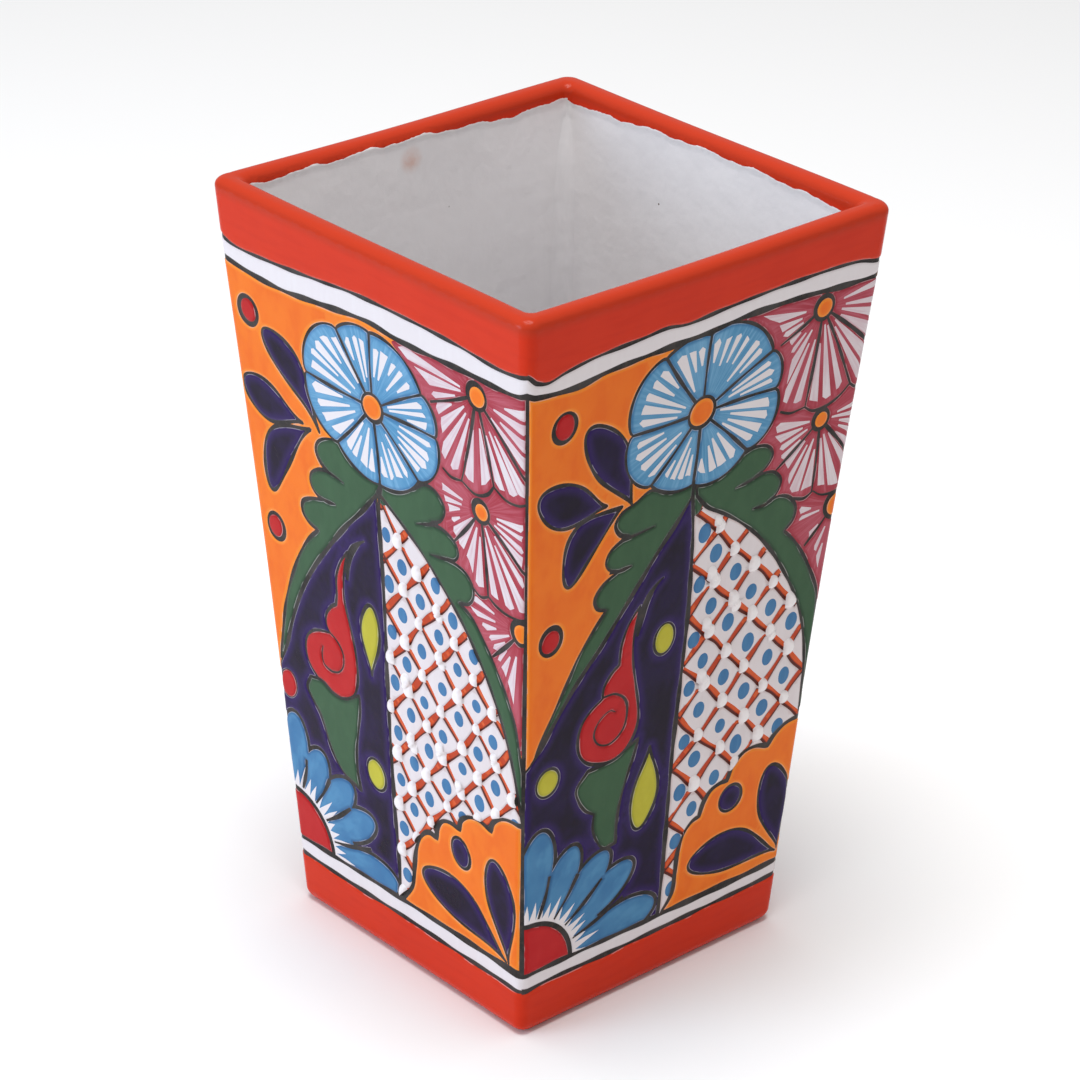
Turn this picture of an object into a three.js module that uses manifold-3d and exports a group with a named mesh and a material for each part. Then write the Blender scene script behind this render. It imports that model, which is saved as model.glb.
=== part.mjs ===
// Square tapered pottery vase, slab-built: four mitred clay walls stand round a clay floor,
// and a coil of clay is pressed into each inner seam.
// Millimetres, +Z up, with the origin at the centre of the underside.
import * as THREE from "three";
import { mergeVertices } from "three/addons/utils/BufferGeometryUtils.js";
import Module from "manifold-3d";

const wasm = await Module();
wasm.setup();

// Driving dimensions.
const HEIGHT = 280;
const RIM_WIDTH = 161;
const FOOT_WIDTH = 120;
const WALL_HOLLOW = 0.6; // how far the walls curve in at mid height
const WALL_THICKNESS = 7.5;
const CORNER_RADIUS = 3.5; // outer upright edges
const INNER_CORNER_RADIUS = 0.4;
const LIP_RADIUS = 3;
const FOOT_RADIUS = 5;
const FLOOR_THICKNESS = 8;
const COIL_REACH = 9; // how far a seam coil is smeared along each face it joins
const COIL_EDGE = 0.8; // thickness left at a coil's feathered edge
const JOINT_GAP = 0.3; // slip line between two joined pieces of clay

// How finely the curves are cut.
const CORNER_STEPS = 6;
const ROUND_STEPS = 5;
const WALL_STEPS = 8;
const FILLET_STEPS = 6;

const QUARTER_TURN = Math.PI / 2;
const OVERRUN = 1; // how far a cutting solid passes the piece it cuts

// Half the vase's outer width at a height.
function halfWidthAt(z) {
  const t = z / HEIGHT;
  const straight = THREE.MathUtils.lerp(FOOT_WIDTH, RIM_WIDTH, t) / 2;
  return straight - 4 * WALL_HOLLOW * t * (1 - t);
}

// Half the width between the walls' inner faces at a height.
function halfHollowAt(z) {
  return halfWidthAt(z) - WALL_THICKNESS;
}

// Closed skin through a stack of matching rings, which run counter-clockwise seen from the
// end of the stack. The end caps are cut from the flat outline.
function loft(rings, outline) {
  const size = rings[0].length;
  const last = (rings.length - 1) * size;
  const index = [];
  for (const [a, b, c] of THREE.ShapeUtils.triangulateShape(outline, [])) {
    index.push(a, c, b);
    index.push(last + a, last + b, last + c);
  }
  for (let level = 0; level < rings.length - 1; level += 1) {
    for (let i = 0; i < size; i += 1) {
      const here = level * size + i;
      const next = level * size + ((i + 1) % size);
      index.push(here, next, next + size);
      index.push(here, next + size, here + size);
    }
  }
  const geometry = new THREE.BufferGeometry().setFromPoints(rings.flat());
  geometry.setIndex(index);
  return geometry;
}

// Outline of a square with rounded corners.
function roundedSquare(half, radius) {
  const shape = new THREE.Shape();
  const reach = half - radius;
  for (let corner = 0; corner < 4; corner += 1) {
    const start = corner * QUARTER_TURN;
    const centre = new THREE.Vector2(reach, reach).rotateAround(new THREE.Vector2(), start);
    shape.absarc(centre.x, centre.y, radius, start, start + QUARTER_TURN);
  }
  return shape.getPoints(CORNER_STEPS);
}

// Solid through rounded squares at the given levels, each with a height and a half width.
function squareLoft(levels, radius) {
  const outlines = levels.map(({ half }) => roundedSquare(half, radius));
  const rings = levels.map(({ z }, i) => outlines[i].map((p) => new THREE.Vector3(p.x, p.y, z)));
  return solidOf(loft(rings, outlines[0]));
}

// Evenly spaced heights, both ends included.
function heights(from, to, steps) {
  return Array.from({ length: steps + 1 }, (_, i) => THREE.MathUtils.lerp(from, to, i / steps));
}

// Angles of a quarter round, both ends included.
function quarter(steps) {
  return heights(0, QUARTER_TURN, steps);
}

function solidOf(geometry) {
  const bare = new THREE.BufferGeometry();
  bare.setAttribute("position", geometry.getAttribute("position"));
  bare.setIndex(geometry.getIndex());
  const merged = mergeVertices(bare, 1e-4);
  return new wasm.Manifold(
    new wasm.Mesh({
      numProp: 3,
      vertProperties: merged.attributes.position.array,
      triVerts: new Uint32Array(merged.index.array),
    }),
  );
}

function geometryOf(solid) {
  const { vertProperties, triVerts } = solid.getMesh();
  const geometry = new THREE.BufferGeometry();
  geometry.setAttribute("position", new THREE.BufferAttribute(vertProperties, 3));
  geometry.setIndex(new THREE.BufferAttribute(triVerts, 1));
  geometry.computeVertexNormals();
  return geometry;
}

// Outside of the whole vase: rounded foot edge, hollowed walls, rounded lip.
function outerForm() {
  const foot = quarter(ROUND_STEPS).map((a) => ({
    z: FOOT_RADIUS * (1 - Math.cos(a)),
    half: halfWidthAt(FOOT_RADIUS) - FOOT_RADIUS * (1 - Math.sin(a)),
  }));
  const walls = heights(FOOT_RADIUS, HEIGHT - LIP_RADIUS, WALL_STEPS)
    .slice(1, -1)
    .map((z) => ({ z, half: halfWidthAt(z) }));
  const lip = quarter(ROUND_STEPS).map((a) => ({
    z: HEIGHT - LIP_RADIUS * (1 - Math.sin(a)),
    half: halfWidthAt(HEIGHT) - LIP_RADIUS * (1 - Math.cos(a)),
  }));
  return squareLoft([...foot, ...walls, ...lip], CORNER_RADIUS);
}

// The space between the walls, flared by the lip's inner rounding and open at both ends.
function innerForm() {
  const walls = heights(-OVERRUN, HEIGHT - LIP_RADIUS, WALL_STEPS)
    .slice(0, -1)
    .map((z) => ({ z, half: halfHollowAt(z) }));
  const lip = quarter(ROUND_STEPS).map((a) => ({
    z: HEIGHT - LIP_RADIUS * (1 - Math.sin(a)),
    half: halfHollowAt(HEIGHT) + LIP_RADIUS * (1 - Math.cos(a)),
  }));
  const above = { z: HEIGHT + OVERRUN, half: halfHollowAt(HEIGHT) + LIP_RADIUS };
  return squareLoft([...walls, ...lip, above], INNER_CORNER_RADIUS);
}

// The quarter of all space that belongs to the front wall, short of its two mitre planes.
function frontQuarter() {
  const near = JOINT_GAP / Math.SQRT2;
  const far = RIM_WIDTH;
  const shape = new THREE.Shape();
  shape.moveTo(0, -near);
  shape.lineTo(-far, -far - near);
  shape.lineTo(far, -far - near);
  const prism = new THREE.ExtrudeGeometry(shape, {
    depth: HEIGHT + 2 * OVERRUN,
    bevelEnabled: false,
  });
  prism.translate(0, 0, -OVERRUN);
  return solidOf(prism);
}

// One mitred wall slab, at the front.
function wall() {
  return geometryOf(outerForm().subtract(innerForm()).intersect(frontQuarter()));
}

// The floor slab, set between the walls with its underside flush with theirs.
function floor() {
  const levels = heights(0, FLOOR_THICKNESS, 1).map((z) => ({ z, half: halfHollowAt(z) - JOINT_GAP }));
  return geometryOf(squareLoft(levels, INNER_CORNER_RADIUS));
}

// Section of a seam coil, thumbed into a hollow fillet: distances from the two faces it joins.
function coilSection() {
  const shape = new THREE.Shape();
  shape.moveTo(0, 0);
  shape.lineTo(COIL_REACH, 0);
  shape.absarc(COIL_REACH, COIL_REACH, COIL_REACH - COIL_EDGE, -QUARTER_TURN, -2 * QUARTER_TURN, true);
  shape.lineTo(0, COIL_REACH);
  shape.closePath();
  return shape.getPoints(FILLET_STEPS).slice(0, -1);
}

// The upright coil in the inner corner between the front and left walls.
function cornerCoil() {
  const section = coilSection();
  const bottom = FLOOR_THICKNESS + COIL_REACH + 2 * JOINT_GAP;
  const top = HEIGHT - 2 * LIP_RADIUS;
  const rings = heights(bottom, top, WALL_STEPS).map((z) => {
    const corner = halfHollowAt(z) - JOINT_GAP;
    return section.map((p) => new THREE.Vector3(p.x - corner, p.y - corner, z));
  });
  return geometryOf(solidOf(loft(rings, section)));
}

// The coil along the floor at the foot of the front wall, mitred at both ends.
function floorCoil() {
  const section = coilSection();
  const rings = [-1, 1].map((side) =>
    section.map((p) => {
      const z = FLOOR_THICKNESS + JOINT_GAP + p.y;
      const out = halfHollowAt(z) - JOINT_GAP - p.x;
      return new THREE.Vector3(side * (out - JOINT_GAP / Math.SQRT2), -out, z);
    }),
  );
  return geometryOf(solidOf(loft(rings, section)));
}

function paintedGlaze() {
  return new THREE.MeshStandardMaterial({ color: 0xc8381f, roughness: 0.22, metalness: 0 });
}

function whiteGlaze() {
  return new THREE.MeshStandardMaterial({ color: 0xdcd9d6, roughness: 0.25, metalness: 0 });
}

function bareClay() {
  return new THREE.MeshStandardMaterial({ color: 0xa9623f, roughness: 0.85, metalness: 0 });
}

// Four copies of a piece, one for each quarter turn about the vase's axis.
function addFour(group, names, geometry, makeMaterial) {
  names.forEach((name, turn) => {
    const mesh = new THREE.Mesh(geometry, makeMaterial());
    mesh.name = name;
    mesh.rotation.z = turn * QUARTER_TURN;
    group.add(mesh);
  });
}

const vase = new THREE.Group();

addFour(vase, ["wall_front", "wall_right", "wall_back", "wall_left"], wall(), paintedGlaze);

const floorSlab = new THREE.Mesh(floor(), bareClay());
floorSlab.name = "floor_slab";
vase.add(floorSlab);

addFour(
  vase,
  ["corner_coil_front_left", "corner_coil_front_right", "corner_coil_back_right", "corner_coil_back_left"],
  cornerCoil(),
  whiteGlaze,
);

addFour(
  vase,
  ["floor_coil_front", "floor_coil_right", "floor_coil_back", "floor_coil_left"],
  floorCoil(),
  whiteGlaze,
);

export default vase;
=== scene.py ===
import math

import bpy
import numpy as np
from mathutils import Matrix, Vector
from mathutils.geometry import delaunay_2d_cdt
from mathutils.kdtree import KDTree


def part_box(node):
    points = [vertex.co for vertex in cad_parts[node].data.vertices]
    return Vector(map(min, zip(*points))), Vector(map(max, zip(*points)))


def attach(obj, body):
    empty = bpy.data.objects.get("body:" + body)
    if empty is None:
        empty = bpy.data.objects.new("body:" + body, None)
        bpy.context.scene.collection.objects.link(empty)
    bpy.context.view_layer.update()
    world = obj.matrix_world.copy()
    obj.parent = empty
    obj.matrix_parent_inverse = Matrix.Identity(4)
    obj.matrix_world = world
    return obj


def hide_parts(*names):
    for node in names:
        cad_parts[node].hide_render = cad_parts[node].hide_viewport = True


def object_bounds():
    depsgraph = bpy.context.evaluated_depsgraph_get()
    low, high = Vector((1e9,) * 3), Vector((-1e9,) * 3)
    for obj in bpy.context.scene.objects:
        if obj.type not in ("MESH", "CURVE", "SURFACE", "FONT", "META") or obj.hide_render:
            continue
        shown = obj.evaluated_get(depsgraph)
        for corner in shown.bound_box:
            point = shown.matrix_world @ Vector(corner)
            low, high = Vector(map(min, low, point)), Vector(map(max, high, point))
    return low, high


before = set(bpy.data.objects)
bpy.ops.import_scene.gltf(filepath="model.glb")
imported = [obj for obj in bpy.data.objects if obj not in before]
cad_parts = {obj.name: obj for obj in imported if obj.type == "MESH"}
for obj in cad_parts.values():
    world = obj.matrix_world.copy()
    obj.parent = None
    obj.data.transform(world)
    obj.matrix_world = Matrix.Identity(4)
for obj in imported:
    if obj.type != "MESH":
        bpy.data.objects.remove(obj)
cad_low, cad_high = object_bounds()

# Everything below is in millimetres until a mesh is made. A panel is one outer face of the
# vase laid flat: s runs to the right along the face from its middle, and z is the height.
MM = 0.001
HEIGHT = cad_high.z / MM
RIM_HALF = cad_high.x / MM
FLOOR_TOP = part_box("floor_slab")[1].z / MM
FOOT_HALF = 60.0
WALL_HOLLOW = 0.6
WALL_THICKNESS = 7.5
CORNER_RADIUS = 3.5
LIP_CORNER_RADIUS = 4.5
INNER_CORNER_RADIUS = 2.0
LIP_RADIUS = 3.0
FOOT_RADIUS = 5.0
COIL_REACH = 6.0

FACE_OVER = RIM_HALF + 6  # grounds and bands are painted past both edges of a face, this far from its middle
PATH_OVER = 5  # and this far past the ends of the path
CLAY_EDGE = -1.2  # path position under the foot, where the rim colour stops and bare clay starts
SHOULDER = 0.9  # how far from a drawn line the glaze reaches its full height
FAR_FROM_LINES = 5.0
SHARP_ANGLE = math.radians(50)
SAME = 1e-3  # points closer than this are one
CUT_TOLERANCE = 1e-4  # for cutting the flat skin into triangles
EVERY_TRIANGLE = 0  # the output kind of the triangulation that keeps them all

COIL_LIFT = 0.16  # a seam coil lies on the walls' glaze
COIL_FEATHER = 0.02  # thickness left at its smeared edge
COIL_FADE = 45.0  # below the lip, where the upright coils thin out
SLIP_GAP = 0.3  # between the floor and the walls
FLOOR_EDGE = 0.8  # rounding of the floor slab's edges


# ---------------------------------------------------------------- the vase's section

QUARTER = math.pi / 2
LIP_ARC = LIP_RADIUS * QUARTER
FOOT_ARC = FOOT_RADIUS * QUARTER
LIP_FLAT = WALL_THICKNESS - 2 * LIP_RADIUS
LIP_START = HEIGHT - LIP_RADIUS
LIP_END = LIP_START + 2 * LIP_ARC + LIP_FLAT


def half_width(z):
    """Half the outer width at a height."""
    t = z / HEIGHT
    return FOOT_HALF + (RIM_HALF - FOOT_HALF) * t - 4 * WALL_HOLLOW * t * (1 - t)


FOOT_FLAT = half_width(FOOT_RADIUS) - FOOT_RADIUS - (FOOT_HALF - WALL_THICKNESS)
PATH_START = FOOT_RADIUS - FOOT_ARC - FOOT_FLAT
PATH_END = LIP_END + LIP_START


def section(path):
    """Distance from the axis, height and normal (out, up) of the wall's skin along a path.

    The path goes from the underside round the foot, up the outside, where it equals the
    height, over the lip, and down the inside to the bottom.
    """
    path = np.asarray(path, float)
    foot = (path - (FOOT_RADIUS - FOOT_ARC)) / FOOT_RADIUS
    lip_out = (path - LIP_START) / LIP_RADIUS
    lip_in = (path - LIP_START - LIP_ARC - LIP_FLAT) / LIP_RADIUS
    inside = path - LIP_END
    top = half_width(HEIGHT)
    foot_out = half_width(FOOT_RADIUS)
    zero = 0 * path
    cases = [
        (foot < 0, foot_out - FOOT_RADIUS + foot * FOOT_RADIUS, zero, zero, zero - 1),
        (
            foot < QUARTER,
            foot_out - FOOT_RADIUS * (1 - np.sin(foot)),
            FOOT_RADIUS * (1 - np.cos(foot)),
            np.sin(foot),
            -np.cos(foot),
        ),
        (lip_out < 0, half_width(path), path, zero + 1, zero),
        (
            lip_out < QUARTER,
            half_width(LIP_START) + (top - half_width(LIP_START)) * lip_out / QUARTER
            - LIP_RADIUS * (1 - np.cos(lip_out)),
            LIP_START + LIP_RADIUS * np.sin(lip_out),
            np.cos(lip_out),
            np.sin(lip_out),
        ),
        (lip_in < 0, top - LIP_RADIUS - (path - LIP_START - LIP_ARC), zero + HEIGHT, zero, zero + 1),
        (
            lip_in < QUARTER,
            top - WALL_THICKNESS + LIP_RADIUS * (1 - np.sin(lip_in))
            + (half_width(LIP_START) - top) * lip_in / QUARTER,
            HEIGHT - LIP_RADIUS * (1 - np.cos(lip_in)),
            -np.sin(lip_in),
            np.cos(lip_in),
        ),
        (
            inside < math.inf,
            half_width(LIP_START - inside) - WALL_THICKNESS,
            LIP_START - inside,
            zero - 1,
            zero,
        ),
    ]
    masks = [case[0] for case in cases]
    return tuple(np.select(masks, [case[k] for case in cases]) for k in (1, 2, 3, 4))


# Radius in plan of the upright corners along the path: rounder at the lip, tighter inside.
CORNER_RADII = (
    [LIP_START - 25, LIP_START, LIP_END, LIP_END + 20],
    [CORNER_RADIUS, LIP_CORNER_RADIUS, INNER_CORNER_RADIUS + 1, INNER_CORNER_RADIUS],
)


def on_wall(s, path, raised):
    """Points of the front wall's skin, with its corners rounded in plan."""
    out, z, normal_out, normal_up = section(path)
    radius = np.interp(path, *CORNER_RADII)
    past = np.clip(np.abs(s) - (out - radius), 0, radius)
    turn = np.pi / 4 * past / radius
    across = np.minimum(np.abs(s), out - radius) + radius * np.sin(turn)
    depth = (out - radius) + radius * np.cos(turn)
    x = np.sign(s) * (across + raised * normal_out * np.sin(turn))
    y = -(depth + raised * normal_out * np.cos(turn))
    return np.stack([x, y, z + raised * normal_up], 1)


def hand_made(points):
    """The slow unevenness of a hand-built pot, the same for every piece of it."""
    x, y, z = points.T
    high = z / HEIGHT
    moved = points.copy()
    moved[:, 0] += 0.35 * np.sin(z / 43 + 0.8) * np.sin(y / 52 + 0.4)
    moved[:, 1] += 0.35 * np.sin(z / 47 + 2.1) * np.sin(x / 49 + 1.1)
    rim_wave = 0.3 * np.sin(x / 31 - 0.9) + 0.3 * np.sin(y / 27 - 1.1) - 0.2 * x / 80 + 0.1
    moved[:, 2] += high**3 * rim_wave
    return moved


# ---------------------------------------------------------------- outlines


def unit(vectors):
    """The same directions, one long."""
    return vectors / np.maximum(np.linalg.norm(vectors, axis=1, keepdims=True), 1e-12)


def spline(points, step=1.0):
    """A smooth line through the points, sampled about every step millimetres."""
    p = np.array(points, float)
    p = np.vstack([2 * p[:1] - p[1:2], p, 2 * p[-1:] - p[-2:-1]])
    line = []
    for a, b, c, d in zip(p, p[1:], p[2:], p[3:]):
        ab, bc, cd = (max(np.linalg.norm(v), 1e-6) ** 0.5 for v in (b - a, c - b, d - c))
        leave = bc * ((b - a) / ab - (c - a) / (ab + bc) + (c - b) / bc)
        arrive = bc * ((c - b) / bc - (d - b) / (bc + cd) + (d - c) / cd)
        count = max(2, math.ceil(bc * bc / step))
        t = (np.arange(count) / count)[:, None]
        line.append(
            (2 * t**3 - 3 * t**2 + 1) * b
            + (t**3 - 2 * t**2 + t) * leave
            + (3 * t**2 - 2 * t**3) * c
            + (t**3 - t**2) * arrive
        )
    line.append(p[-2:-1])
    return np.vstack(line)


def cornered(*runs):
    """A closed outline of smooth runs. Each run ends in a corner, where the next one starts."""
    ends = [runs[i - 1][-1] for i in range(len(runs))]
    return np.vstack([spline([end, *run])[:-1] for end, run in zip(ends, runs)])


def anticlockwise(outline):
    """The same outline, in the order that has its inside on the left."""
    x, z = np.asarray(outline, float).T
    area = np.sum(x * np.roll(z, -1) - np.roll(x, -1) * z)
    return np.asarray(outline, float)[:: 1 if area > 0 else -1]


def dense(outline, step=2.0):
    """The same outline with no stretch longer than the step."""
    parts = []
    for start, end in zip(outline, np.roll(outline, -1, 0)):
        count = max(1, math.ceil(np.linalg.norm(end - start) / step))
        parts.append(start + (end - start) * (np.arange(count) / count)[:, None])
    return np.vstack(parts)


def uneven(points):
    """A hand's change of pressure along a line, about 1."""
    s, z = points[:, 0], points[:, 1]
    return 1 + 0.2 * np.sin(s / 3.1 + z / 7.9) + 0.15 * np.sin(z / 2.3 - s / 5.7 + 1)


def offset(outline, distance):
    """A closed outline moved outwards."""
    outline = anticlockwise(outline)
    edge = unit(np.roll(outline, -1, 0) - outline)
    normal = np.stack([edge[:, 1], -edge[:, 0]], 1)
    return outline + distance * unit(normal + np.roll(normal, 1, 0))


def ellipse(s, z, wide, tall, lean=0.0):
    """An oval with its half width and half height, leaning over by an angle in degrees."""
    count = max(14, int(2 * math.pi * max(wide, tall) / 0.8))
    t = np.arange(count) / count * 2 * math.pi
    c, q = math.cos(math.radians(lean)), math.sin(math.radians(lean))
    x, y = wide * np.cos(t), tall * np.sin(t)
    return np.stack([s + c * x - q * y, z + q * x + c * y], 1)


def drop(tip, far, width, bend=0.0, belly=1.5):
    """A brushed drop from a thin tip to a round far end. It bends to the left of that way, and a
    bigger belly puts its widest place nearer to the far end."""
    tip, far = np.array(tip, float), np.array(far, float)
    axis = far - tip
    side = np.array([-axis[1], axis[0]]) / np.linalg.norm(axis)
    count = max(12, int(np.linalg.norm(axis) / 0.9))
    t = 0.5 - 0.5 * np.cos(np.pi * np.linspace(0, 1, count))
    half = width / 2 * np.maximum(np.sin(np.pi * t**belly), 0) ** (1 - 0.5 * t)
    middle = tip + axis * t[:, None] + side * (bend * np.sin(np.pi * t))[:, None]
    right = middle - side * half[:, None]
    left = middle + side * half[:, None]
    return np.vstack([right, left[-2:0:-1]])


def brushed(points, width, ends):
    """Outline of a stroke along a smooth line. Ends are shares of its width."""
    line = spline(points)
    way = unit(np.gradient(line, axis=0))
    side = np.stack([-way[:, 1], way[:, 0]], 1)
    t = np.linspace(0, 1, len(line))
    share = np.minimum(1, ends[0] + (1 - ends[0]) * 3 * t)
    share = np.minimum(share, ends[1] + (1 - ends[1]) * 3 * (1 - t))
    half = (width / 2 * share * uneven(line))[:, None]
    return np.vstack([line - side * half, (line + side * half)[::-1]])


def inside(outline, points):
    """Which points lie in an anticlockwise outline."""
    a, b = outline, np.roll(outline, -1, 0)
    px, pz = points[:, 0:1], points[:, 1:2]
    up = (a[:, 1] <= pz) & (b[:, 1] > pz)
    down = (a[:, 1] > pz) & (b[:, 1] <= pz)
    turn = (b[:, 0] - a[:, 0]) * (pz - a[:, 1]) - (px - a[:, 0]) * (b[:, 1] - a[:, 1])
    return ((up & (turn > 0)).sum(1) - (down & (turn < 0)).sum(1)) > 0


def reach(centre, angle, outline):
    """How far a ray from a point inside an outline goes before it leaves it."""
    way = np.array([math.cos(angle), math.sin(angle)])
    a = outline - centre
    edge = np.roll(outline, -1, 0) - outline
    cross = way[0] * edge[:, 1] - way[1] * edge[:, 0]
    cross = np.where(np.abs(cross) < 1e-9, 1e-9, cross)
    along = (a[:, 0] * edge[:, 1] - a[:, 1] * edge[:, 0]) / cross
    share = (a[:, 0] * way[1] - a[:, 1] * way[0]) / cross
    hits = along[(along > 0) & (share >= 0) & (share <= 1)]
    return hits.min() if len(hits) else 0.0


def at(centre, degrees, distance):
    """The point at an angle and a distance from a centre."""
    turn = math.radians(degrees)
    return (centre[0] + distance * math.cos(turn), centre[1] + distance * math.sin(turn))


# ---------------------------------------------------------------- painting


class Panel:
    """Paint laid on one face, in layers. Later layers cover earlier ones."""

    def __init__(self, seed):
        self.layers = []
        self.domes = []
        self.random = np.random.default_rng(seed)

    def fill(self, paint, outline, centre=None, lined=False):
        """A patch of paint, brushed outwards from a centre if one is given."""
        self.layers.append((paint, dense(anticlockwise(outline)), centre, lined))

    def drawn(self, paint, outline, line, centre=None):
        """A patch of paint inside a dark outline."""
        half = line / 2 * uneven(anticlockwise(outline))[:, None]
        self.fill("line", offset(outline, half))
        self.fill(paint, offset(outline, -half), centre, lined=True)

    def stroke(self, points, width, ends=(1.0, 1.0), paint="line"):
        """One stroke of a brush along a smooth line."""
        self.fill(paint, brushed(points, width, ends))

    def dome(self, paint, centre, radius, height):
        """A round blob of glaze that stands out of the face."""
        self.fill(paint, ellipse(*centre, radius * 0.9, radius * self.random.uniform(1.0, 1.2)))
        self.domes.append((centre, radius, height))


def rays(panel, paint, centre, outline, start, end, count, inner, margin, share):
    """Bare streaks between brush strokes, fanned out from a centre in one sector.

    Inner is about where they start, margin how far they stay from the outline, and share how
    much of the sector they take up.
    """
    spread = math.radians(end - start) / count
    for k in range(count):
        jitter = panel.random.uniform(-0.12, 0.12)
        middle = math.radians(start) + spread * (k + 0.5 + jitter)
        half = spread / 2 * share * panel.random.uniform(0.6, 1.2)
        near = inner * panel.random.uniform(0.9, 2.1)
        corners = []
        for turn, slack in ((-half, 1.0), (-half * 0.2, 0.85), (half, 1.0)):
            far = reach(centre, middle + turn, outline) - margin * slack
            corners.append((middle + turn, far - panel.random.uniform(0, 1.6)))
        if min(far for _, far in corners) < near + 3:
            continue
        tail = 0.35 / near
        points = [(middle - tail, near), *corners, (middle + tail, near)]
        panel.fill(paint, [at(centre, math.degrees(a), r) for a, r in points], centre)


def flower(panel, centre, eye, petals, stem):
    """The round blue flower. A petal is its first edge's angle, that edge's length and its bulge."""
    edges = [*petals, (petals[0][0] + 360, *petals[0][1:])]
    outline = []
    for (a0, r0, bulge), (a1, r1, _) in zip(edges, edges[1:]):
        steps = max(6, int(math.radians(a1 - a0) * r0))
        for u in np.arange(steps) / steps:
            far = r0 + (r1 - r0) * u + bulge * math.sin(math.pi * u) ** 0.6
            outline.append(at(centre, a0 + (a1 - a0) * u, far))
    outline = anticlockwise(outline)
    panel.drawn("blue", outline, 1.15, centre)
    for (a0, _, _), (a1, _, _) in zip(edges, edges[1:]):
        count = max(3, round((a1 - a0) / 11))
        rays(panel, "white", centre, outline, a0 + 3, a1 - 3, count, 9.0, 4.3, 0.72)
    for angle, length, _ in petals:
        line = [at(centre, angle, eye), at(centre, angle + 1, length * 0.6), at(centre, angle, length)]
        panel.stroke(line, 1.15)
    panel.stroke(stem, 1.8, ends=(0.8, 1))
    panel.fill("line", ellipse(*centre, eye + 1.2, eye + 1.0, 20))
    panel.fill("orange", ellipse(centre[0] - 0.2, centre[1] + 0.2, eye, eye * 0.92, 15), lined=True)


def fan(panel, outline, centre, eye, cuts, edges, scallops):
    """A pink shell: white streaks fanned out from an orange eye, cut into sectors by dark lines.

    Cuts are the lines' angles in degrees, and edges are the angles where the streaks start and end.
    """
    outline = anticlockwise(outline)
    panel.fill("pink", outline, centre)
    sides = [edges[0], *cuts, edges[1]]
    for start, end in zip(sides, sides[1:]):
        count = max(2, round((end - start) / 13))
        rays(panel, "blush", centre, outline, start + 1, end - 1, count, eye * 1.9, 3.0, 0.74)
    for angle in cuts:
        length = reach(centre, math.radians(angle), outline)
        line = [at(centre, angle, eye), at(centre, angle + 1.5, length * 0.5), at(centre, angle, length)]
        panel.stroke(line, 1.3, ends=(1, 0.6))
    for scallop in scallops:
        panel.stroke(scallop, 1.1, ends=(0.7, 0.7))
    panel.fill("line", ellipse(*centre, eye + 1.5, eye + 1.7, 10))
    panel.fill("orange", ellipse(centre[0] + 0.4, centre[1] - 0.2, eye, eye * 0.95, 30), lined=True)


def leaf(panel, outline, notches, spine):
    """A green leaf with lobes: short dark lines run in between them, and a long one along the spine."""
    panel.drawn("green", outline, 1.25)
    for notch in notches:
        panel.stroke(notch, 1.2, ends=(1, 0.3))
    panel.stroke(spine, 1.15)


def lattice(panel, outline, origin, pitch, divide, dot, bead):
    """Diagonal red lines on white, with a blue dot in each cell and a raised bead on each crossing."""
    outline = anticlockwise(outline)
    inner = offset(outline, -1.6)
    panel.fill("cell", outline)
    low, high = outline.min(0) - pitch, outline.max(0) + pitch
    spots = {}
    # More half cells than any patch holds: columns i and rows j, crossings where i + j is odd.
    for i in range(-8, 12):
        for j in range(-12, 12):
            spot = np.array(origin) + np.array([i, j]) * np.array(pitch) / 2
            if np.all(spot > low) and np.all(spot < high):
                spots[i, j] = spot + panel.random.uniform(-0.9, 0.9, 2)
    for (i, j), start in spots.items():
        for step in (-1, 1):
            if (i + j) % 2 and (i + 1, j + step) in spots:
                lattice_line(panel, outline, start, spots[i + 1, j + step], 2.35 + 0.3 * step)
    for (i, j), spot in spots.items():
        if (i + j) % 2 == 0 and spot[0] > divide - 3:
            shifted = np.array([max(spot[0], divide + 4.6), spot[1]])
            if inside(inner, shifted[None])[0]:
                panel.dome("dot", shifted, dot * panel.random.uniform(0.9, 1.1), 0.12)
    for (i, j), spot in spots.items():
        if (i + j) % 2 and inside(inner, spot[None])[0]:
            size = bead * panel.random.uniform(0.85, 1.15)
            spot = spot + panel.random.uniform(-0.7, 0.7, 2)
            panel.dome("bead", spot, size, size * 0.55)
            if panel.random.uniform() < 0.25:
                beside = spot + panel.random.choice([-1, 1]) * np.array([0.55, -1.1]) * size
                panel.dome("bead", beside, size * 0.85, size * 0.45)


def lattice_line(panel, outline, start, end, width):
    """One diagonal from crossing to crossing, cut off where the patch ends, with a dark side."""
    along = np.linspace(start, end, 13)
    kept = along[inside(outline, along)]
    if len(kept) < 3:
        return
    sag = panel.random.uniform(-0.5, 0.5, 2)
    points = [kept[0], kept[len(kept) // 2] + sag, kept[-1]]
    panel.stroke([p + np.array([-0.25, -0.6]) for p in points], width, paint="shadow")
    panel.stroke([p + np.array([0.1, 0.15]) for p in points], width * 0.72, paint="lattice")


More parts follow.
